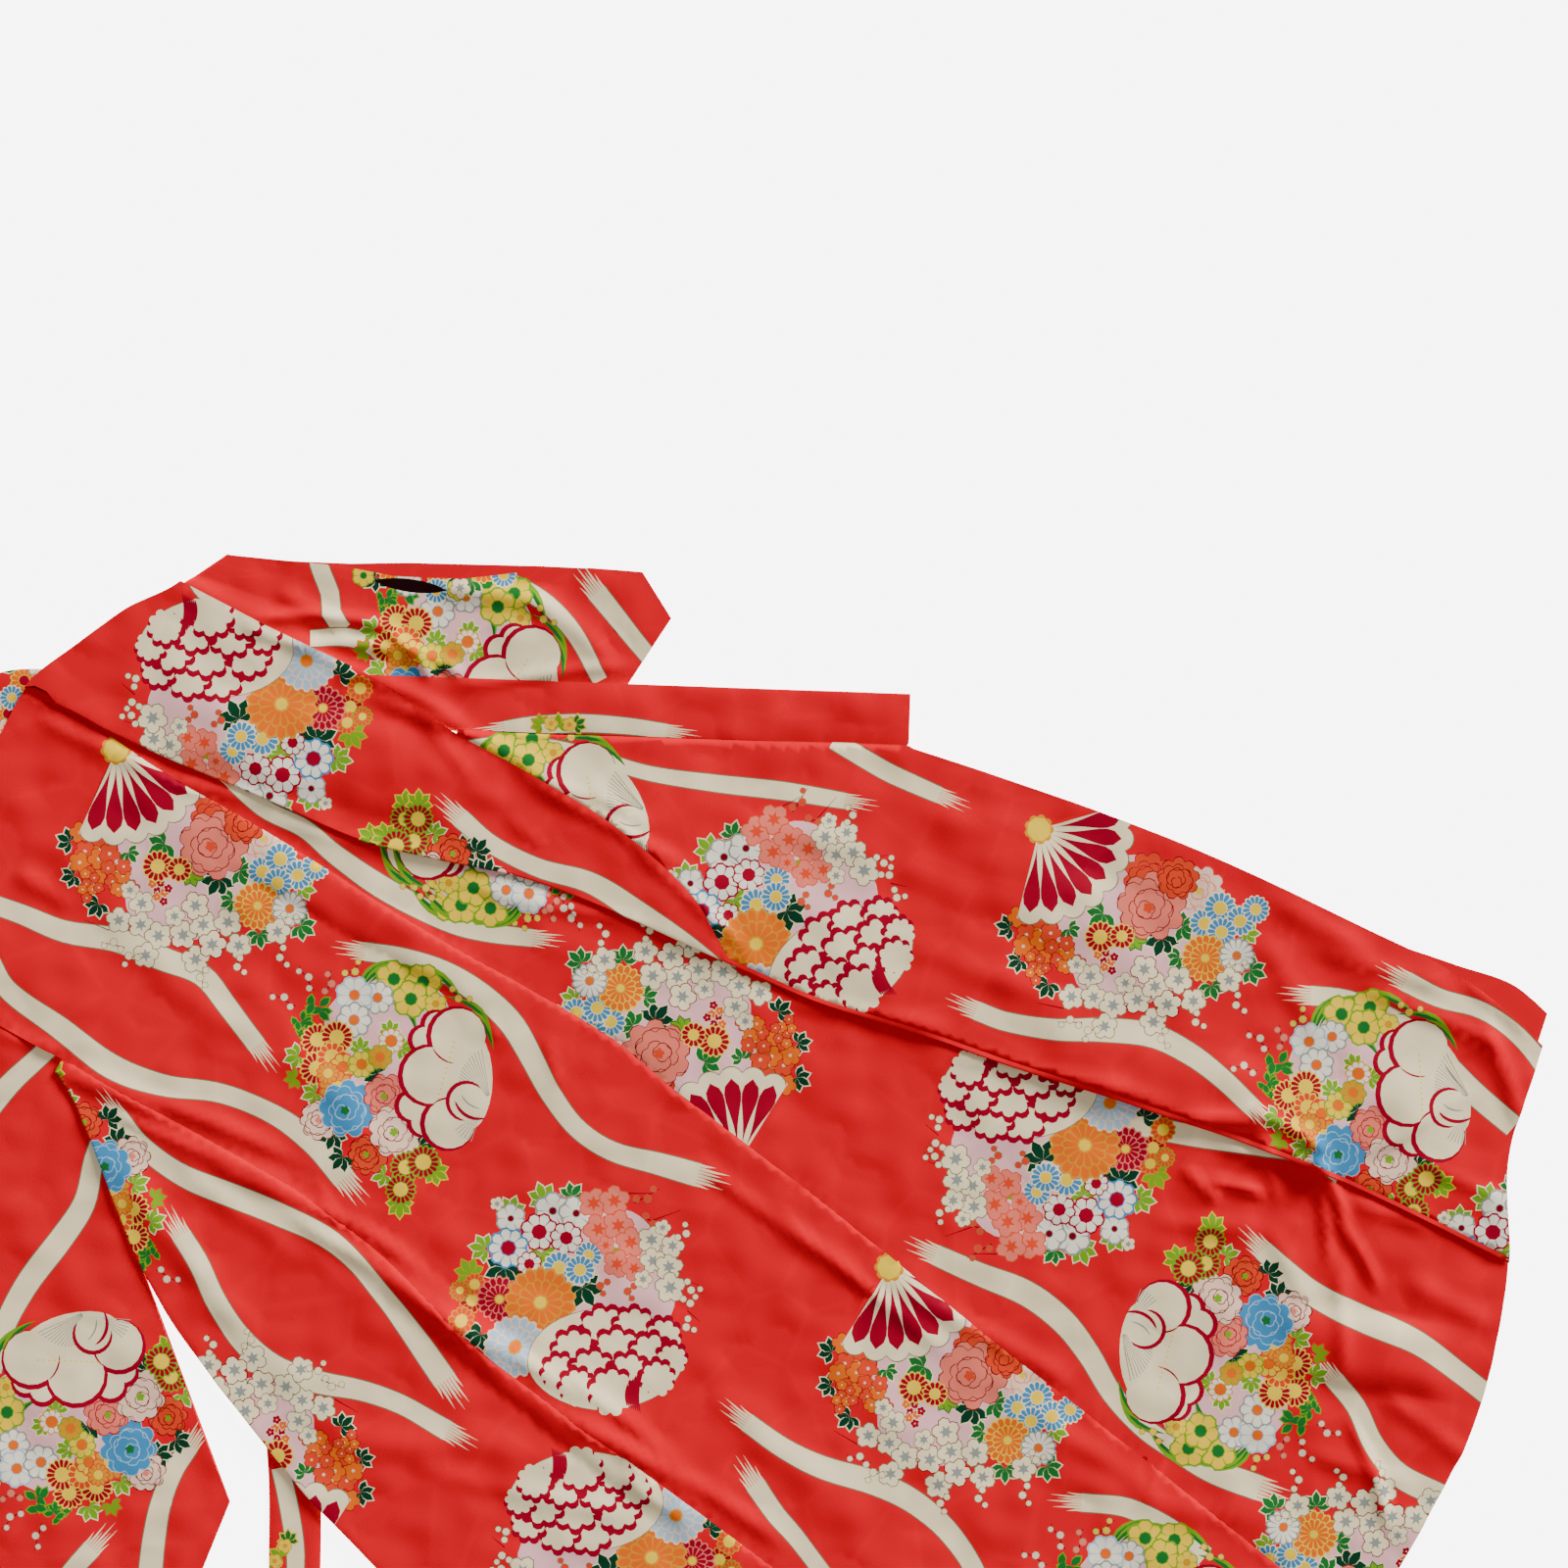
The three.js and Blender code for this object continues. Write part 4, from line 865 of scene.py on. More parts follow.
# Ribbons, columns: piece, layer, width, brushed start, brushed end, then the places of the middle line
RIBBONS_ON = [
    ("back_left", 0, 17, 0, 1, [(-163, 51), (-158, 84), (-154, 122), (-140, 164), (-136, 202),
        (-133, 237), (-144, 265), (-162, 303)]),
    ("back_left", 0, 17, 0, 1, [(-200, 77), (-217, 104), (-224, 155), (-232, 204), (-226, 251),
        (-210, 296), (-205, 343), (-211, 382), (-224, 416)]),
    ("back_left", 0, 17, 1, 1, [(-54, 345), (-44, 374), (-38, 408), (-40, 440), (-49, 475),
        (-67, 505), (-86, 533), (-100, 564), (-103, 599), (-95, 635), (-88, 668)]),
    ("back_left", 0, 17, 1, 0, [(-246, 797), (-251, 834), (-250, 869), (-242, 910), (-240, 941),
        (-246, 976), (-258, 1004), (-277, 1032)]),
    ("back_left", 0, 15, 1, 0, [(-288, 827), (-301, 852), (-310, 876), (-326, 910)]),
    ("back_left", 0, 17, 1, 0, [(-177, 1068), (-163, 1102), (-162, 1137), (-170, 1177)]),
    ("front_left", 0, 17, 1, 1, [(-265, 231), (-278, 261), (-283, 299), (-278, 345), (-274, 384),
        (-272, 423), (-280, 459), (-294, 493), (-309, 524), (-330, 565)]),
    ("front_left", 0, 17, 1, 1, [(-326, 322), (-341, 347), (-359, 371), (-378, 404), (-385, 438),
        (-380, 473), (-369, 510), (-364, 544), (-365, 586)]),
    ("back_right", 0, 16, 1, 1, [(18, 188), (10, 219), (11, 255), (4, 287), (-1, 324), (-2, 365),
        (0, 400), (7, 428), (19, 459)]),
    ("back_right", 0, 16, 1, 0, [(111, 840), (108, 877), (110, 930), (118, 971), (132, 1017),
        (146, 1055), (160, 1101), (156, 1128)]),
    ("back_right", 0, 18, 1, 1, [(-55, 869), (-52, 908), (-48, 951), (-54, 986), (-68, 1017),
        (-88, 1050), (-100, 1086), (-103, 1117), (-104, 1149), (-99, 1190)]),
    ("back_right", 0, 18, 1, 0, [(73, 1102), (67, 1125), (61, 1155), (62, 1198), (66, 1245),
        (60, 1289), (49, 1349)]),
    ("back_right", 0, 17, 1, 0, [(8, 1201), (-4, 1229), (-24, 1255), (-36, 1284), (-36, 1317),
        (-32, 1365)]),
    ("back_right", 1, 16, 1, 1, [(78, 363), (71, 395), (72, 438), (81, 480), (78, 525), (73, 572),
        (67, 606)]),
    ("back_right", 1, 15, 0, 0, [(163, 57), (151, 79), (141, 100), (139, 125), (144, 157)]),
    ("front_right", 1, 13, 0, 1, [(112, 318), (140, 357), (159, 392), (171, 430), (181, 479),
        (198, 528), (220, 584), (236, 631)]),
    ("front_right", 1, 13, 0, 1, [(275, 600), (274, 623), (273, 650), (274, 670), (276, 696)]),
    ("front_right", 1, 17, 1, 1, [(136, 805), (139, 829), (152, 867), (170, 902), (185, 940),
        (186, 975), (181, 1005), (172, 1037)]),
    ("front_right", 1, 16, 1, 0, [(274, 1039), (285, 1066), (289, 1100), (285, 1134), (275, 1166),
        (266, 1194), (257, 1234)]),
    ("front_right", 1, 15, 1, 0, [(320, 1101), (321, 1132), (328, 1164), (326, 1194), (318, 1220),
        (302, 1250)]),
    ("sleeve_left", 0, 17, 0, 0, [(-232, 159), (-260, 149), (-283, 141), (-318, 133)]),
    ("sleeve_left", 0, 17, 0, 0, [(-270, 224), (-308, 230), (-341, 239), (-377, 236), (-420, 229),
        (-458, 229), (-497, 237)]),
    ("sleeve_left", 0, 17, 1, 0, [(-475, 407), (-501, 405), (-534, 410), (-579, 426), (-619, 446)]),
    ("sleeve_left", 0, 16, 1, 0, [(-586, 376), (-617, 369), (-660, 369)]),
    ("sleeve_right", 0, 13, 0, 0, [(211, 159), (203, 167), (188, 184), (176, 192), (168, 207)]),
    ("sleeve_right", 0, 13, 0, 0, [(149, 187), (163, 210), (168, 230), (164, 247), (151, 263)]),
    ("sleeve_right", 0, 13, 0, 0, [(258, 285), (265, 307), (264, 341), (253, 374), (229, 410)]),
    ("sleeve_right", 0, 15, 1, 0, [(291, 374), (282, 395), (272, 418), (261, 445)]),
    ("collar", 0, 13, 1, 1, [(158, 361), (172, 380), (191, 412), (207, 447), (218, 477)]),
    ("collar", 0, 13, 0, 0, [(-457, 480), (-476, 497), (-508, 521), (-536, 536)]),
    ("okumi_right", 0, 15, 0, 0, [(232, 1237), (238, 1258)]),
]


def ribbon(places, width, start, end):
    """A cream ribbon along a smooth line through the places, with a thin grey edge. A brushed end
    is seven thin streaks of unlike length that go on from the ribbon. Its width is
    width x (1 + 0.12 sin) along the way."""
    route = np.array(places, float)
    at = np.concatenate([[0], np.cumsum(np.hypot(*np.diff(route, axis=0).T))])
    lane = np.column_stack([at, route])
    d = np.linspace(0, at[-1], max(6, int(at[-1] / 7)))
    w, s = along(d, lane, 1), along(d, lane, 2)
    dw, ds = np.gradient(w), np.gradient(s)
    size = np.hypot(dw, ds)
    side = np.column_stack([ds / size, -dw / size])
    middle = np.column_stack([w, s])
    half = (0.5 * width * (1 + 0.12 * np.sin(d / 37 + width)))[:, None]
    made = [
        (np.concatenate([middle + side * (half + grow), (middle - side * (half + grow))[::-1]]), colour)
        for grow, colour in ((0.9, "rim"), (0.0, "cream"))
    ]
    for brushed, tip, step in ((start, 0, 1), (end, -1, -1)):
        if not brushed:
            continue
        out = middle[tip] - middle[tip + step]
        out = out / np.hypot(*out)
        for k, reach in enumerate((12, 24, 16, 29, 20, 26, 13)):
            off = side[tip] * half[tip] * (k - 3) * 0.29
            wide = side[tip] * half[tip] * 0.13
            root = middle[tip] - out * 2 + off
            point = root + out * (reach + 2) + side[tip] * 0.4 * (k - 3)
            belly = root + out * 0.5 * reach
            slim = 0.8 * wide
            streak = np.array([root + wide, belly + slim, point, belly - slim, root - wide])
            made += [(streak, "cream")]
    return made


# The way a ball's own x and y lie in the plan: x to the right and y up as the camera sees them
X_AXIS = np.array([0.469, 0.883])
Y_AXIS = np.array([0.883, -0.469])


def prints_of(piece):
    """All printed outlines of a piece, as (outline in w and s, layer, colour)."""
    made = []
    for name, layer, width, start, end, places in RIBBONS_ON:
        if name == piece:
            made += [(points, layer, colour) for points, colour in ribbon(places, width, start, end)]
    for name, layer, kind, middle, turn in BALLS_ON:
        if name == piece:
            for points, colour in BALLS[kind]:
                xy = turned(points, turn)
                made += [(xy[:, :1] * X_AXIS + xy[:, 1:] * Y_AXIS + middle, layer, colour)]
    return made


print("balls:", len(BALLS_ON), "ribbons:", len(RIBBONS_ON))


# %% the silk
def silk():
    """Crepe silk: the print's colour, a faint woven lattice, a slow change of tone and a grain."""
    made = bpy.data.materials.new("printed silk crepe")
    made.use_nodes = True
    nodes, links = made.node_tree.nodes, made.node_tree.links
    shader = nodes["Principled BSDF"]
    shader.inputs["Roughness"].default_value = 0.6
    shader.inputs["Specular IOR Level"].default_value = 0.04
    colour = nodes.new("ShaderNodeAttribute")
    colour.attribute_name = "print"
    cloth = nodes.new("ShaderNodeUVMap")
    cloth.uv_map = "cloth"
    lattice = nodes.new("ShaderNodeTexVoronoi")
    lattice.feature = "DISTANCE_TO_EDGE"
    lattice.inputs["Scale"].default_value = 17.0
    lattice.inputs["Randomness"].default_value = 0.8
    links.new(cloth.outputs["UV"], lattice.inputs["Vector"])
    line = nodes.new("ShaderNodeMapRange")
    line.inputs["From Max"].default_value = 0.07
    line.inputs["To Min"].default_value = 1.06
    line.inputs["To Max"].default_value = 1.0
    links.new(lattice.outputs["Distance"], line.inputs["Value"])
    cloud = nodes.new("ShaderNodeTexNoise")
    cloud.inputs["Scale"].default_value = 9.0
    cloud.inputs["Detail"].default_value = 4.0
    links.new(cloth.outputs["UV"], cloud.inputs["Vector"])
    fade = nodes.new("ShaderNodeMapRange")
    fade.inputs["To Min"].default_value = 0.90
    fade.inputs["To Max"].default_value = 1.08
    links.new(cloud.outputs["Fac"], fade.inputs["Value"])
    both = nodes.new("ShaderNodeMath")
    both.operation = "MULTIPLY"
    links.new(line.outputs["Result"], both.inputs[0])
    links.new(fade.outputs["Result"], both.inputs[1])
    tint = nodes.new("ShaderNodeVectorMath")
    tint.operation = "SCALE"
    links.new(colour.outputs["Color"], tint.inputs[0])
    links.new(both.outputs["Value"], tint.inputs["Scale"])
    links.new(tint.outputs["Vector"], shader.inputs["Base Color"])
    grain = nodes.new("ShaderNodeTexNoise")
    grain.inputs["Scale"].default_value = 700.0
    grain.inputs["Detail"].default_value = 2.0
    links.new(cloth.outputs["UV"], grain.inputs["Vector"])
    bump = nodes.new("ShaderNodeBump")
    bump.inputs["Strength"].default_value = 0.25
    bump.inputs["Distance"].default_value = 0.0004
    links.new(grain.outputs["Fac"], bump.inputs["Height"])
    links.new(bump.outputs["Normal"], shader.inputs["Normal"])
    return made


SILK = silk()
print("material:", SILK.name)


# %% from a surface to a piece of cloth
def to_frame(w, s, z):
    """Places in the part's frame in metres, none so low that the cloth would enter the surface."""
    z = np.maximum(z, 0.5 * CLOTH + 0.05)
    return np.column_stack([HOME_W + w, HOME_S - s, z]) / 1000


def surface(shape, u, v):
    """Places and unit normals of a surface: the normal is the cross product of the steps
    along u and along v."""
    h = 0.4
    places = to_frame(*shape(u, v))
    du = to_frame(*shape(u + h, v)) - to_frame(*shape(u - h, v))
    dv = to_frame(*shape(u, v + h)) - to_frame(*shape(u, v - h))
    normal = np.cross(du, dv)
    normal /= np.maximum(np.linalg.norm(normal, axis=1, keepdims=True), 1e-12)
    return places, normal


def area_of(points):
    """The area inside an outline, below 0 if it runs clockwise."""
    x, y = points.T
    return 0.5 * (x * np.roll(y, -1) - np.roll(x, -1) * y).sum()


def once_round(points):
    """Whether an outline turns just once round, as one does that never crosses itself."""
    step = np.roll(points, -1, axis=0) - points
    x, y = step[np.hypot(*step.T) > 1e-6].T
    way = np.arctan2(y, x)
    bend = (np.roll(way, -1) - way + np.pi) % (2 * np.pi) - np.pi
    return abs(abs(bend.sum()) - 2 * np.pi) < 0.1


def anticlockwise(points):
    """The same outline, turned round if it runs clockwise."""
    return points if area_of(points) > 0 else points[::-1]


def cut_plan(rim, inner, lines, motifs):
    """The plan of a piece cut into triangles that never cross a printed edge: its points, its
    triangles, the colour of the uppermost outline that each is in, and the rim's own points."""
    parts = [rim, inner, *lines, *[points for points, _ in motifs]]
    starts = np.cumsum([0] + [len(part) for part in parts])
    lanes = [range(a, b) for a, b in zip(starts[:-1], starts[1:])]
    edges = [pair for lane in lanes[2:2 + len(lines)] for pair in zip(lane[:-1], lane[1:])]
    faces = [list(lanes[0])] + [list(lane) for lane in lanes[2 + len(lines):]]
    colours = np.array([0] + [NAMES.index(colour) for _, colour in motifs])
    flat = [Vector(p) for p in np.concatenate(parts).tolist()]
    cut = delaunay_2d_cdt(flat, edges, faces, 1, 1e-5)
    points, triangles = np.array([tuple(p) for p in cut[0]]), np.array(cut[2])
    inside = np.array([min(ids, default=1) == 0 for ids in cut[5]])
    colour = colours[np.array([max(ids, default=0) for ids in cut[5]])][inside]
    used, triangles = np.unique(triangles[inside], return_inverse=True)
    new = np.full(len(points), -1)
    new[used] = np.arange(len(used))
    own = {source: place for place, ids in enumerate(cut[3]) for source in ids if source < len(rim)}
    return points[used], triangles.reshape(-1, 3), colour, new[[own[k] for k in range(len(rim))]]


def facing(points, triangles, upward):
    """Triangles that all run the way that makes their outer side the print's side."""
    a, b, c = (points[triangles[:, k]] for k in range(3))
    keep = (np.cross(b - a, c - a) > 0) == (upward > 0)
    return np.where(keep[:, None], triangles, triangles[:, ::-1])


def cloth_piece(name, shape, rim, inner, motifs, lines=()):
    """A closed thin piece of cloth. Its printed face and its plain wrong side each are half its
    thickness from the surface, along the normal, and a band joins them round the rim."""
    low, high = rim.min(axis=0), rim.max(axis=0)
    motifs = [(anticlockwise(points), colour) for points, colour in motifs
              if (points.max(axis=0) > low).all() and (points.min(axis=0) < high).all()]
    points, triangles, colour, _ = cut_plan(anticlockwise(rim), inner, lines, motifs)
    count = len(points)
    pairs = np.concatenate([triangles[:, [0, 1]], triangles[:, [1, 2]], triangles[:, [2, 0]]])
    keys = pairs[:, 0] * count + pairs[:, 1]
    open_edges = pairs[~np.isin(pairs[:, 1] * count + pairs[:, 0], keys)]
    after = dict(open_edges.tolist())
    loop = [int(open_edges[0, 0])]
    while after[loop[-1]] != loop[0]:
        loop.append(after[loop[-1]])
    under, below, _, own = cut_plan(points[loop], inner, lines, [])
    places, normal = surface(shape, *points.T)
    under_places, under_normal = surface(shape, *under.T)
    upward = 1 if np.median(normal[:, 2]) > 0 else -1
    normal, under_normal = normal * upward, under_normal * upward
    vertices = np.concatenate([places + normal * CLOTH / 2000, under_places - under_normal * CLOTH / 2000])
    here, there = np.array(loop), np.roll(loop, -1)
    low_here, low_there = own + count, np.roll(own, -1) + count
    band = np.concatenate([
        np.column_stack([there, here, low_here]), np.column_stack([there, low_here, low_there]),
    ])[:, ::upward]
    faces = np.concatenate([
        facing(points, triangles, upward), facing(under, below, -upward) + count, band,
    ])
    a, b, c = faces.T
    whole = (a != b) & (b != c) & (c != a)
    tone = np.concatenate([colour, np.zeros(len(below) + len(band), int)])[whole]
    faces = faces[whole]
    mesh = bpy.data.meshes.new(name)
    mesh.vertices.add(len(vertices))
    mesh.vertices.foreach_set("co", vertices.ravel())
    mesh.loops.add(faces.size)
    mesh.loops.foreach_set("vertex_index", faces.ravel().astype(np.int32))
    mesh.polygons.add(len(faces))
    mesh.polygons.foreach_set("loop_start", np.arange(0, faces.size, 3, dtype=np.int32))
    mesh.update(calc_edges=True)
    mesh.validate()
    mesh.shade_smooth()
    paint = mesh.color_attributes.new("print", "FLOAT_COLOR", "CORNER")
    paint.data.foreach_set("color", np.repeat(PALETTE[tone], 3, axis=0).ravel())
    cloth = mesh.uv_layers.new(name="cloth")
    cloth.data.foreach_set("uv", (np.concatenate([points, under])[faces.ravel()] / 1000).ravel())
    mesh.normals_split_custom_set_from_vertices(np.concatenate([normal, -under_normal]).tolist())
    mesh.materials.append(SILK)
    made = bpy.data.objects.new(name + "_cloth", mesh)
    bpy.context.scene.collection.objects.link(made)
    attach(made, "root")
    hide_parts(name)
    corner = places[triangles]
    first, second = corner[:, 1] - corner[:, 0], corner[:, 2] - corner[:, 0]
    area = 0.5 * np.linalg.norm(np.cross(first, second), axis=1).sum()
    print(f"{name}: {len(faces)} triangles, {area:.4f} square metres")
    return made


def rim_between(left, right, first, last, width_of):
    """The outline of a piece between two lines down the garment and two lines across it. Each
    corner and each place on the lines across is found by going back and forth between them."""
    f = np.linspace(0, 1, 70)
    ends = []
    for line, guess in ((first, 0.0), (last, 1290.0)):
        s = np.full(70, guess)
        for _ in range(12):
            u = mix(left(s), right(s), f)
            s = line(width_of(u, s))
        ends.append((u, s))
    (u0, s0), (u1, s1) = ends
    down = np.linspace(0, 1, 260)[1:-1]
    sr, sl = mix(s0[-1], s1[-1], down), mix(s0[0], s1[0], down)
    rim = np.concatenate([
        np.column_stack([u0, s0]), np.column_stack([right(sr), sr]),
        np.column_stack([u1, s1])[::-1], np.column_stack([left(sl), sl])[::-1],
    ])
    return rim, (u0, s0), (u1, s1)


def lattice(left, right, head, foot, hidden=None):
    """Points at every GRID mm inside a piece, fewer where it is hidden."""
    every = int(COARSE / GRID)
    s, k = np.meshgrid(np.arange(-30, 1340, GRID), np.arange(-160, 160))
    u = k * GRID + (s / GRID % 2) * 0.5 * GRID
    inside = (u > left(s) + 2) & (u < right(s) - 2)
    inside &= (s > np.interp(u, *head) + 2) & (s < np.interp(u, *foot) - 2)
    if hidden is not None:
        sparse = (k % every == 0) & (np.round(s / GRID) % every == 0)
        inside &= ~hidden(u, s) | sparse
    return np.column_stack([u[inside], s[inside]])


def fold_lines(starts, head_s, foot_s):
    """Lines along a fold, each a function of s."""
    s = np.arange(head_s, foot_s, GRID)
    return [np.column_stack([start(s), s]) for start in starts]


def tucked(shape, seam, side):
    """The same shape, going on past a seam as a narrow allowance 1 mm under the next piece."""
    def made(u, s):
        w, down, z = shape(u, s)
        return w, down, z - ramp(side * (u - seam(s)) / 0.5)
    return made


def top_edge(w):
    return along(w, TOP_EDGE)


def hem(w):
    return along(w, HEM)


# %% the left back and the left front
def piece_between(name, shape, left, right, first, last, layers=None, hidden=None, lines=()):
    """A piece with its print, cut between two lines down the garment and two across it. Points
    that would lie close beside a fold's own lines are left out."""
    rim, head, foot = rim_between(left, right, first, last, lambda u, s: shape(u, s)[0])
    motifs = []
    for points, layer, colour in prints_of(name):
        if layers:
            points = np.column_stack([layers(points[:, 0], points[:, 1], layer), points[:, 1]])
        if hidden is None or not hidden(*points.T).all():
            motifs.append((points, colour))
    inner = lattice(left, right, head, foot, hidden)
    for line in lines:
        inner = inner[np.abs(inner[:, 0] - np.interp(inner[:, 1], line[:, 1], line[:, 0])) > 1.8]
    return cloth_piece(name, shape, rim, inner, motifs, lines)


def left_seam(s):
    return along(s, LEFT_SEAM)


def centre_seam(s):
    return along(s, CENTRE_SEAM)


back_left = piece_between(
    "back_left", tucked(left_back_shape, centre_seam, 1),
    lambda s: left_seam(s) + SEAM_GAP, lambda s: centre_seam(s) + ALLOWANCE,
    top_edge, hem, lines=fold_lines([lambda s: centre_seam(s) - SEAM_GAP], -20, 1330),
)


def outline_fold(s):
    return along(s, LEFT_OUTLINE) + ROLL


front_left = piece_between(
    "front_left", tucked(left_front_shape, left_seam, 1),
    lambda s: outline_fold(s) - ARC - along(s, LEFT_OUTLINE, 2), lambda s: left_seam(s) + ALLOWANCE,
    lambda w: 169 + 0 * w, hem,
    hidden=lambda u, s: u < outline_fold(s) - ARC - 6,
    lines=fold_lines([lambda s, k=k: outline_fold(s) - ARC * k / 3 for k in range(4)], 178, 1240)
    + fold_lines([lambda s: left_seam(s) - SEAM_GAP], 178, 1330),
)

# %% the right back and the right front
back_right = piece_between(
    "back_right", right_shape,
    lambda s: SEAM_GAP + 0 * s, lambda s: chain(s)[7] - SEAM_GAP,
    top_edge, hem, layers=right_place, hidden=right_hidden,
    lines=fold_lines(
        [lambda s, k=k: mix(chain(s)[5], chain(s)[6], k / 3) for k in range(4)]
        + [lambda s, k=k: mix(chain(s)[3], chain(s)[4], k / 3) for k in range(4)], 30, 1275),
)


def right_seam(s):
    return chain(s)[7]


def collar_seam(s):
    return chain(s)[6] + right_outer(s) - chain(s)[1]


front_right = piece_between(
    "front_right",
    tucked(tucked(right_shape, right_seam, -1), lambda s: collar_seam(s) + np.where(s < 655, 0, 99), 1),
    lambda s: right_seam(s) - ALLOWANCE, lambda s: collar_seam(s) + ALLOWANCE * ramp((660 - s) / 8),
    lambda w: 328 + 0 * w, hem, layers=right_place,
    lines=fold_lines([lambda s: right_seam(s) + SEAM_GAP], 328, 1330)
    + fold_lines([lambda s: collar_seam(s) - SEAM_GAP], 334, 648),
)

# %% the hidden pieces
front_left_upper = piece_between(
    "front_left_upper", flat_shape,
    lambda s: along(s, LEFT_SEAM) + SEAM_GAP,
    lambda s: -np.minimum(230, 112 + 0.62 * np.maximum(s - 20, 0)),
    top_edge, lambda w: 250 + 0 * w,
)
front_right_upper = piece_between(
    "front_right_upper", flat_shape,
    lambda s: np.minimum(132, 84 + 0.42 * np.maximum(s - 40, 0)), lambda s: along(s, RIGHT_SEAM) - SEAM_GAP,
    lambda w: top_edge(w) + 2, lambda w: 185 + 0 * w,
)


def okumi_width(s, start):
    """Width of an overlap panel: 75 mm at its upper end, and 150 mm from 180 mm further down."""
    return 150 * mix(0.5, 1, ramp((s - start) / 180))


okumi_left = piece_between(
    "okumi_left", flat_shape,
    lambda s: along(s, LEFT_OUTLINE) + along(s, LEFT_OUTLINE, 2) + 2,
    lambda s: along(s, LEFT_OUTLINE) + along(s, LEFT_OUTLINE, 2) + 2 + okumi_width(s, 660),
    lambda w: 660 + 0 * w, hem,
)
okumi_right = piece_between(
    "okumi_right", flat_shape,
    lambda s: np.maximum(along(s, RIGHT_OUTLINE) - 6 - okumi_width(s, 690),
                         along(s, PLEAT) + along(s, PLEAT, 2) + 6),
    lambda s: along(s, RIGHT_OUTLINE) + along(s, OKUMI_SHOWS),
    lambda w: 690 + 0 * w, lambda w: hem(w) - 4,
)


# %% the collar and the sleeves
def found(shape, points, u, v):
    """Where on a surface given places of the plan are: each starts at the nearest of the points
    u, v, and then takes three of Newton's steps."""
    w, s, _ = shape(u, v)
    near = np.concatenate([
        np.argmin((part[:, :1] - w) ** 2 + (part[:, 1:] - s) ** 2, axis=1)
        for part in np.array_split(points, len(points) // 500 + 1)
    ])
    gu, gv = u[near].copy(), v[near].copy()
    h = 1.0
    for _ in range(3):
        w0, s0, _ = shape(gu, gv)
        wu, su, _ = shape(gu + h, gv)
        wv, sv, _ = shape(gu, gv + h)
        a, b, c, d = (wu - w0) / h, (wv - w0) / h, (su - s0) / h, (sv - s0) / h
        fall = a * d - b * c
        fall = np.where(np.abs(fall) < 0.05, 0.05 * np.where(fall < 0, -1, 1), fall)
        ew, es = points[:, 0] - w0, points[:, 1] - s0
        gu = gu + np.clip((d * ew - b * es) / fall, -40, 40)
        gv = gv + np.clip((a * es - c * ew) / fall, -40, 40)
    return np.column_stack([gu, gv])


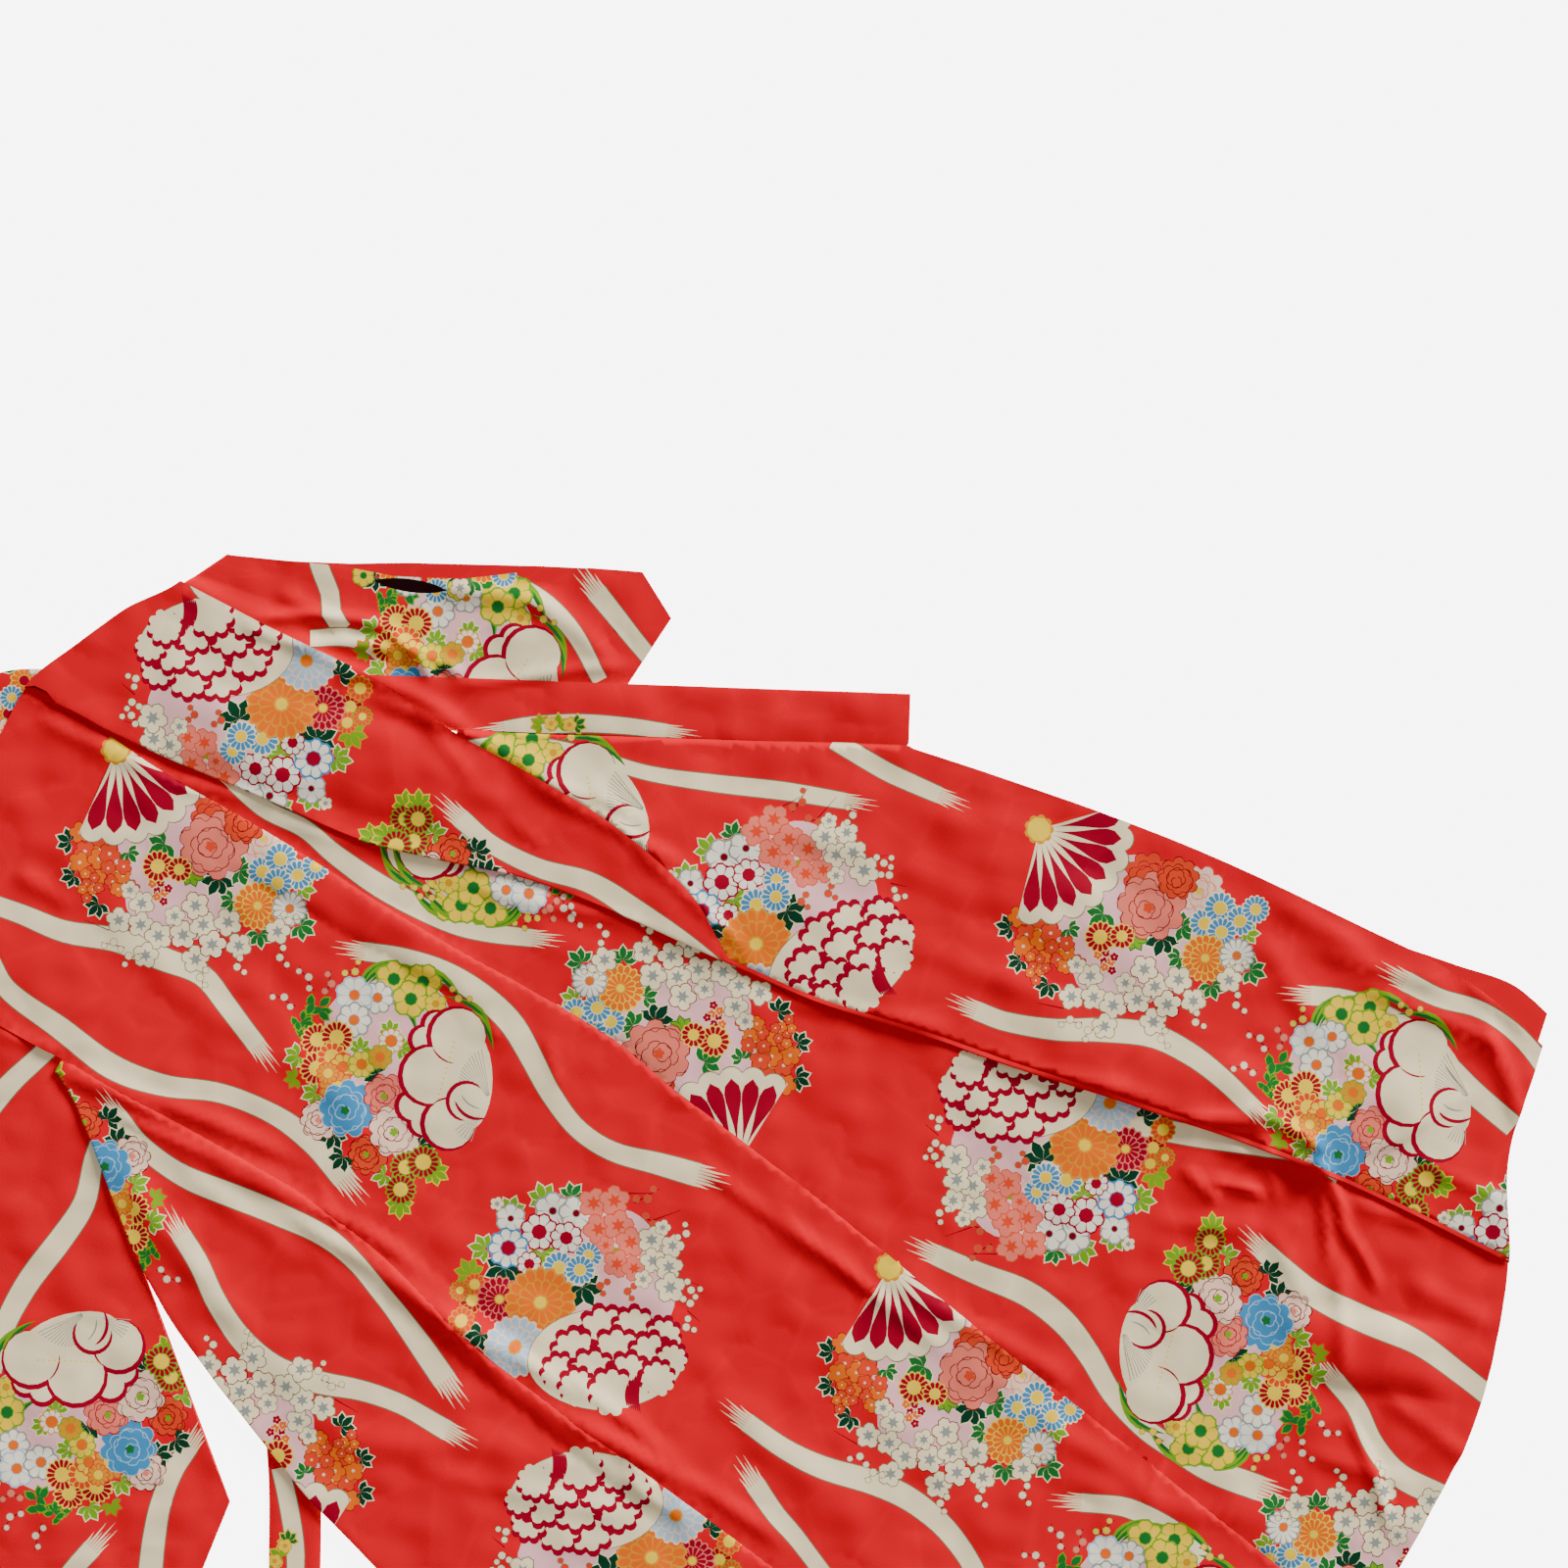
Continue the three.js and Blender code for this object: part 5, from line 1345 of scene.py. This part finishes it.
def oblong(name, shape, u_ends, v_ends, lines=()):
    """A piece whose cloth is an oblong in u and v. Where v runs from below 0, the print's layer 0
    is on the part with v above 0, and its layer -1 on the other part. An outline that isn't found,
    or crosses itself where the cloth bends, is left out."""
    (u0, u1), (v0, v1) = u_ends, v_ends
    across, down = np.arange(u0, u1, 4.0), np.arange(v0, v1, 4.0)
    rim = np.concatenate([
        np.column_stack([across, np.full_like(across, v0)]),
        np.column_stack([np.full_like(down, u1), down]),
        np.column_stack([across + u1 - across[-1], np.full_like(across, v1)])[::-1],
        np.column_stack([np.full_like(down, u0), down])[:0:-1],
    ])
    grid = np.meshgrid(np.arange(u0 + 2.5, u1 - 2, 4.0), np.arange(v0 + 2.5, v1 - 2, 4.0))
    u, v = (part.ravel() for part in grid)
    motifs = []
    for side, layer in ((v > 4, 0), (v < -4, -1)) if v0 < 0 else ((v > 0, 0),):
        seen = np.flatnonzero(side)[::5]
        outlines = [(points, colour) for points, on, colour in prints_of(name) if on == layer]
        if outlines:
            ends = np.cumsum([len(points) for points, _ in outlines])[:-1]
            asked = np.concatenate([points for points, _ in outlines])
            laid = found(shape, asked, u[seen], v[seen])
            w, s, _ = shape(*laid.T)
            miss = np.hypot(w - asked[:, 0], s - asked[:, 1])
            motifs += [
                (points, colour)
                for points, off, (_, colour) in zip(np.split(laid, ends), np.split(miss, ends), outlines)
                if np.median(off) < 1 and once_round(points)
            ]
    return cloth_piece(name, shape, rim, np.column_stack([u, v]), motifs, lines)


collar = oblong("collar", collar_shape, (-21, 21), (0, COLLAR_AT[-1]))


def sleeve(name, table):
    end = SHOULDER + SLEEVE_ROW * (len(table) - 1)
    across = np.arange(2.0, 199, 4)
    places = (-1, -0.5, 0, 0.5, 1)
    folds = [np.column_stack([across, np.full_like(across, SHOULDER * k)]) for k in places]
    return oblong(name, sleeve_shape(table), (0, SLEEVE_WIDTH), (-end, end), folds)


sleeve_right = sleeve("sleeve_right", SLEEVE_RIGHT)
sleeve_left = sleeve("sleeve_left", SLEEVE_LEFT)

# %% the surface, the camera and the light
bpy.ops.mesh.primitive_plane_add(size=12, location=(0.3, 0.2, 0))
floor = bpy.context.object
floor.name = "pale surface"
pale = bpy.data.materials.new("pale surface")
pale.use_nodes = True
paper = pale.node_tree.nodes["Principled BSDF"]
paper.inputs["Base Color"].default_value = (0.93, 0.93, 0.93, 1)
paper.inputs["Roughness"].default_value = 0.9
paper.inputs["Emission Color"].default_value = (1, 1, 1, 1)
paper.inputs["Emission Strength"].default_value = 6.0
floor.data.materials.append(pale)

lens = bpy.data.cameras.new("camera")
lens.lens = 50
lens.sensor_width = 36
camera = bpy.data.objects.new("camera", lens)
camera.location = (0.335, 0.219, 1.77)
camera.rotation_euler = (0, 0, np.radians(-62.03))
bpy.context.scene.collection.objects.link(camera)
bpy.context.scene.camera = camera

window = bpy.data.lights.new("window", "SUN")
window.energy = 6.4
window.angle = np.radians(20)
beam = bpy.data.objects.new("window", window)
beam.rotation_euler = Vector((-0.956, 0.293, -0.37)).to_track_quat("-Z", "Y").to_euler()
bpy.context.scene.collection.objects.link(beam)
world = bpy.data.worlds.new("room")
world.use_nodes = True
world.node_tree.nodes["Background"].inputs["Color"].default_value = (1, 1, 1, 1)
world.node_tree.nodes["Background"].inputs["Strength"].default_value = 0.4
bpy.context.scene.world = world
print("camera at", [round(x, 3) for x in camera.location])
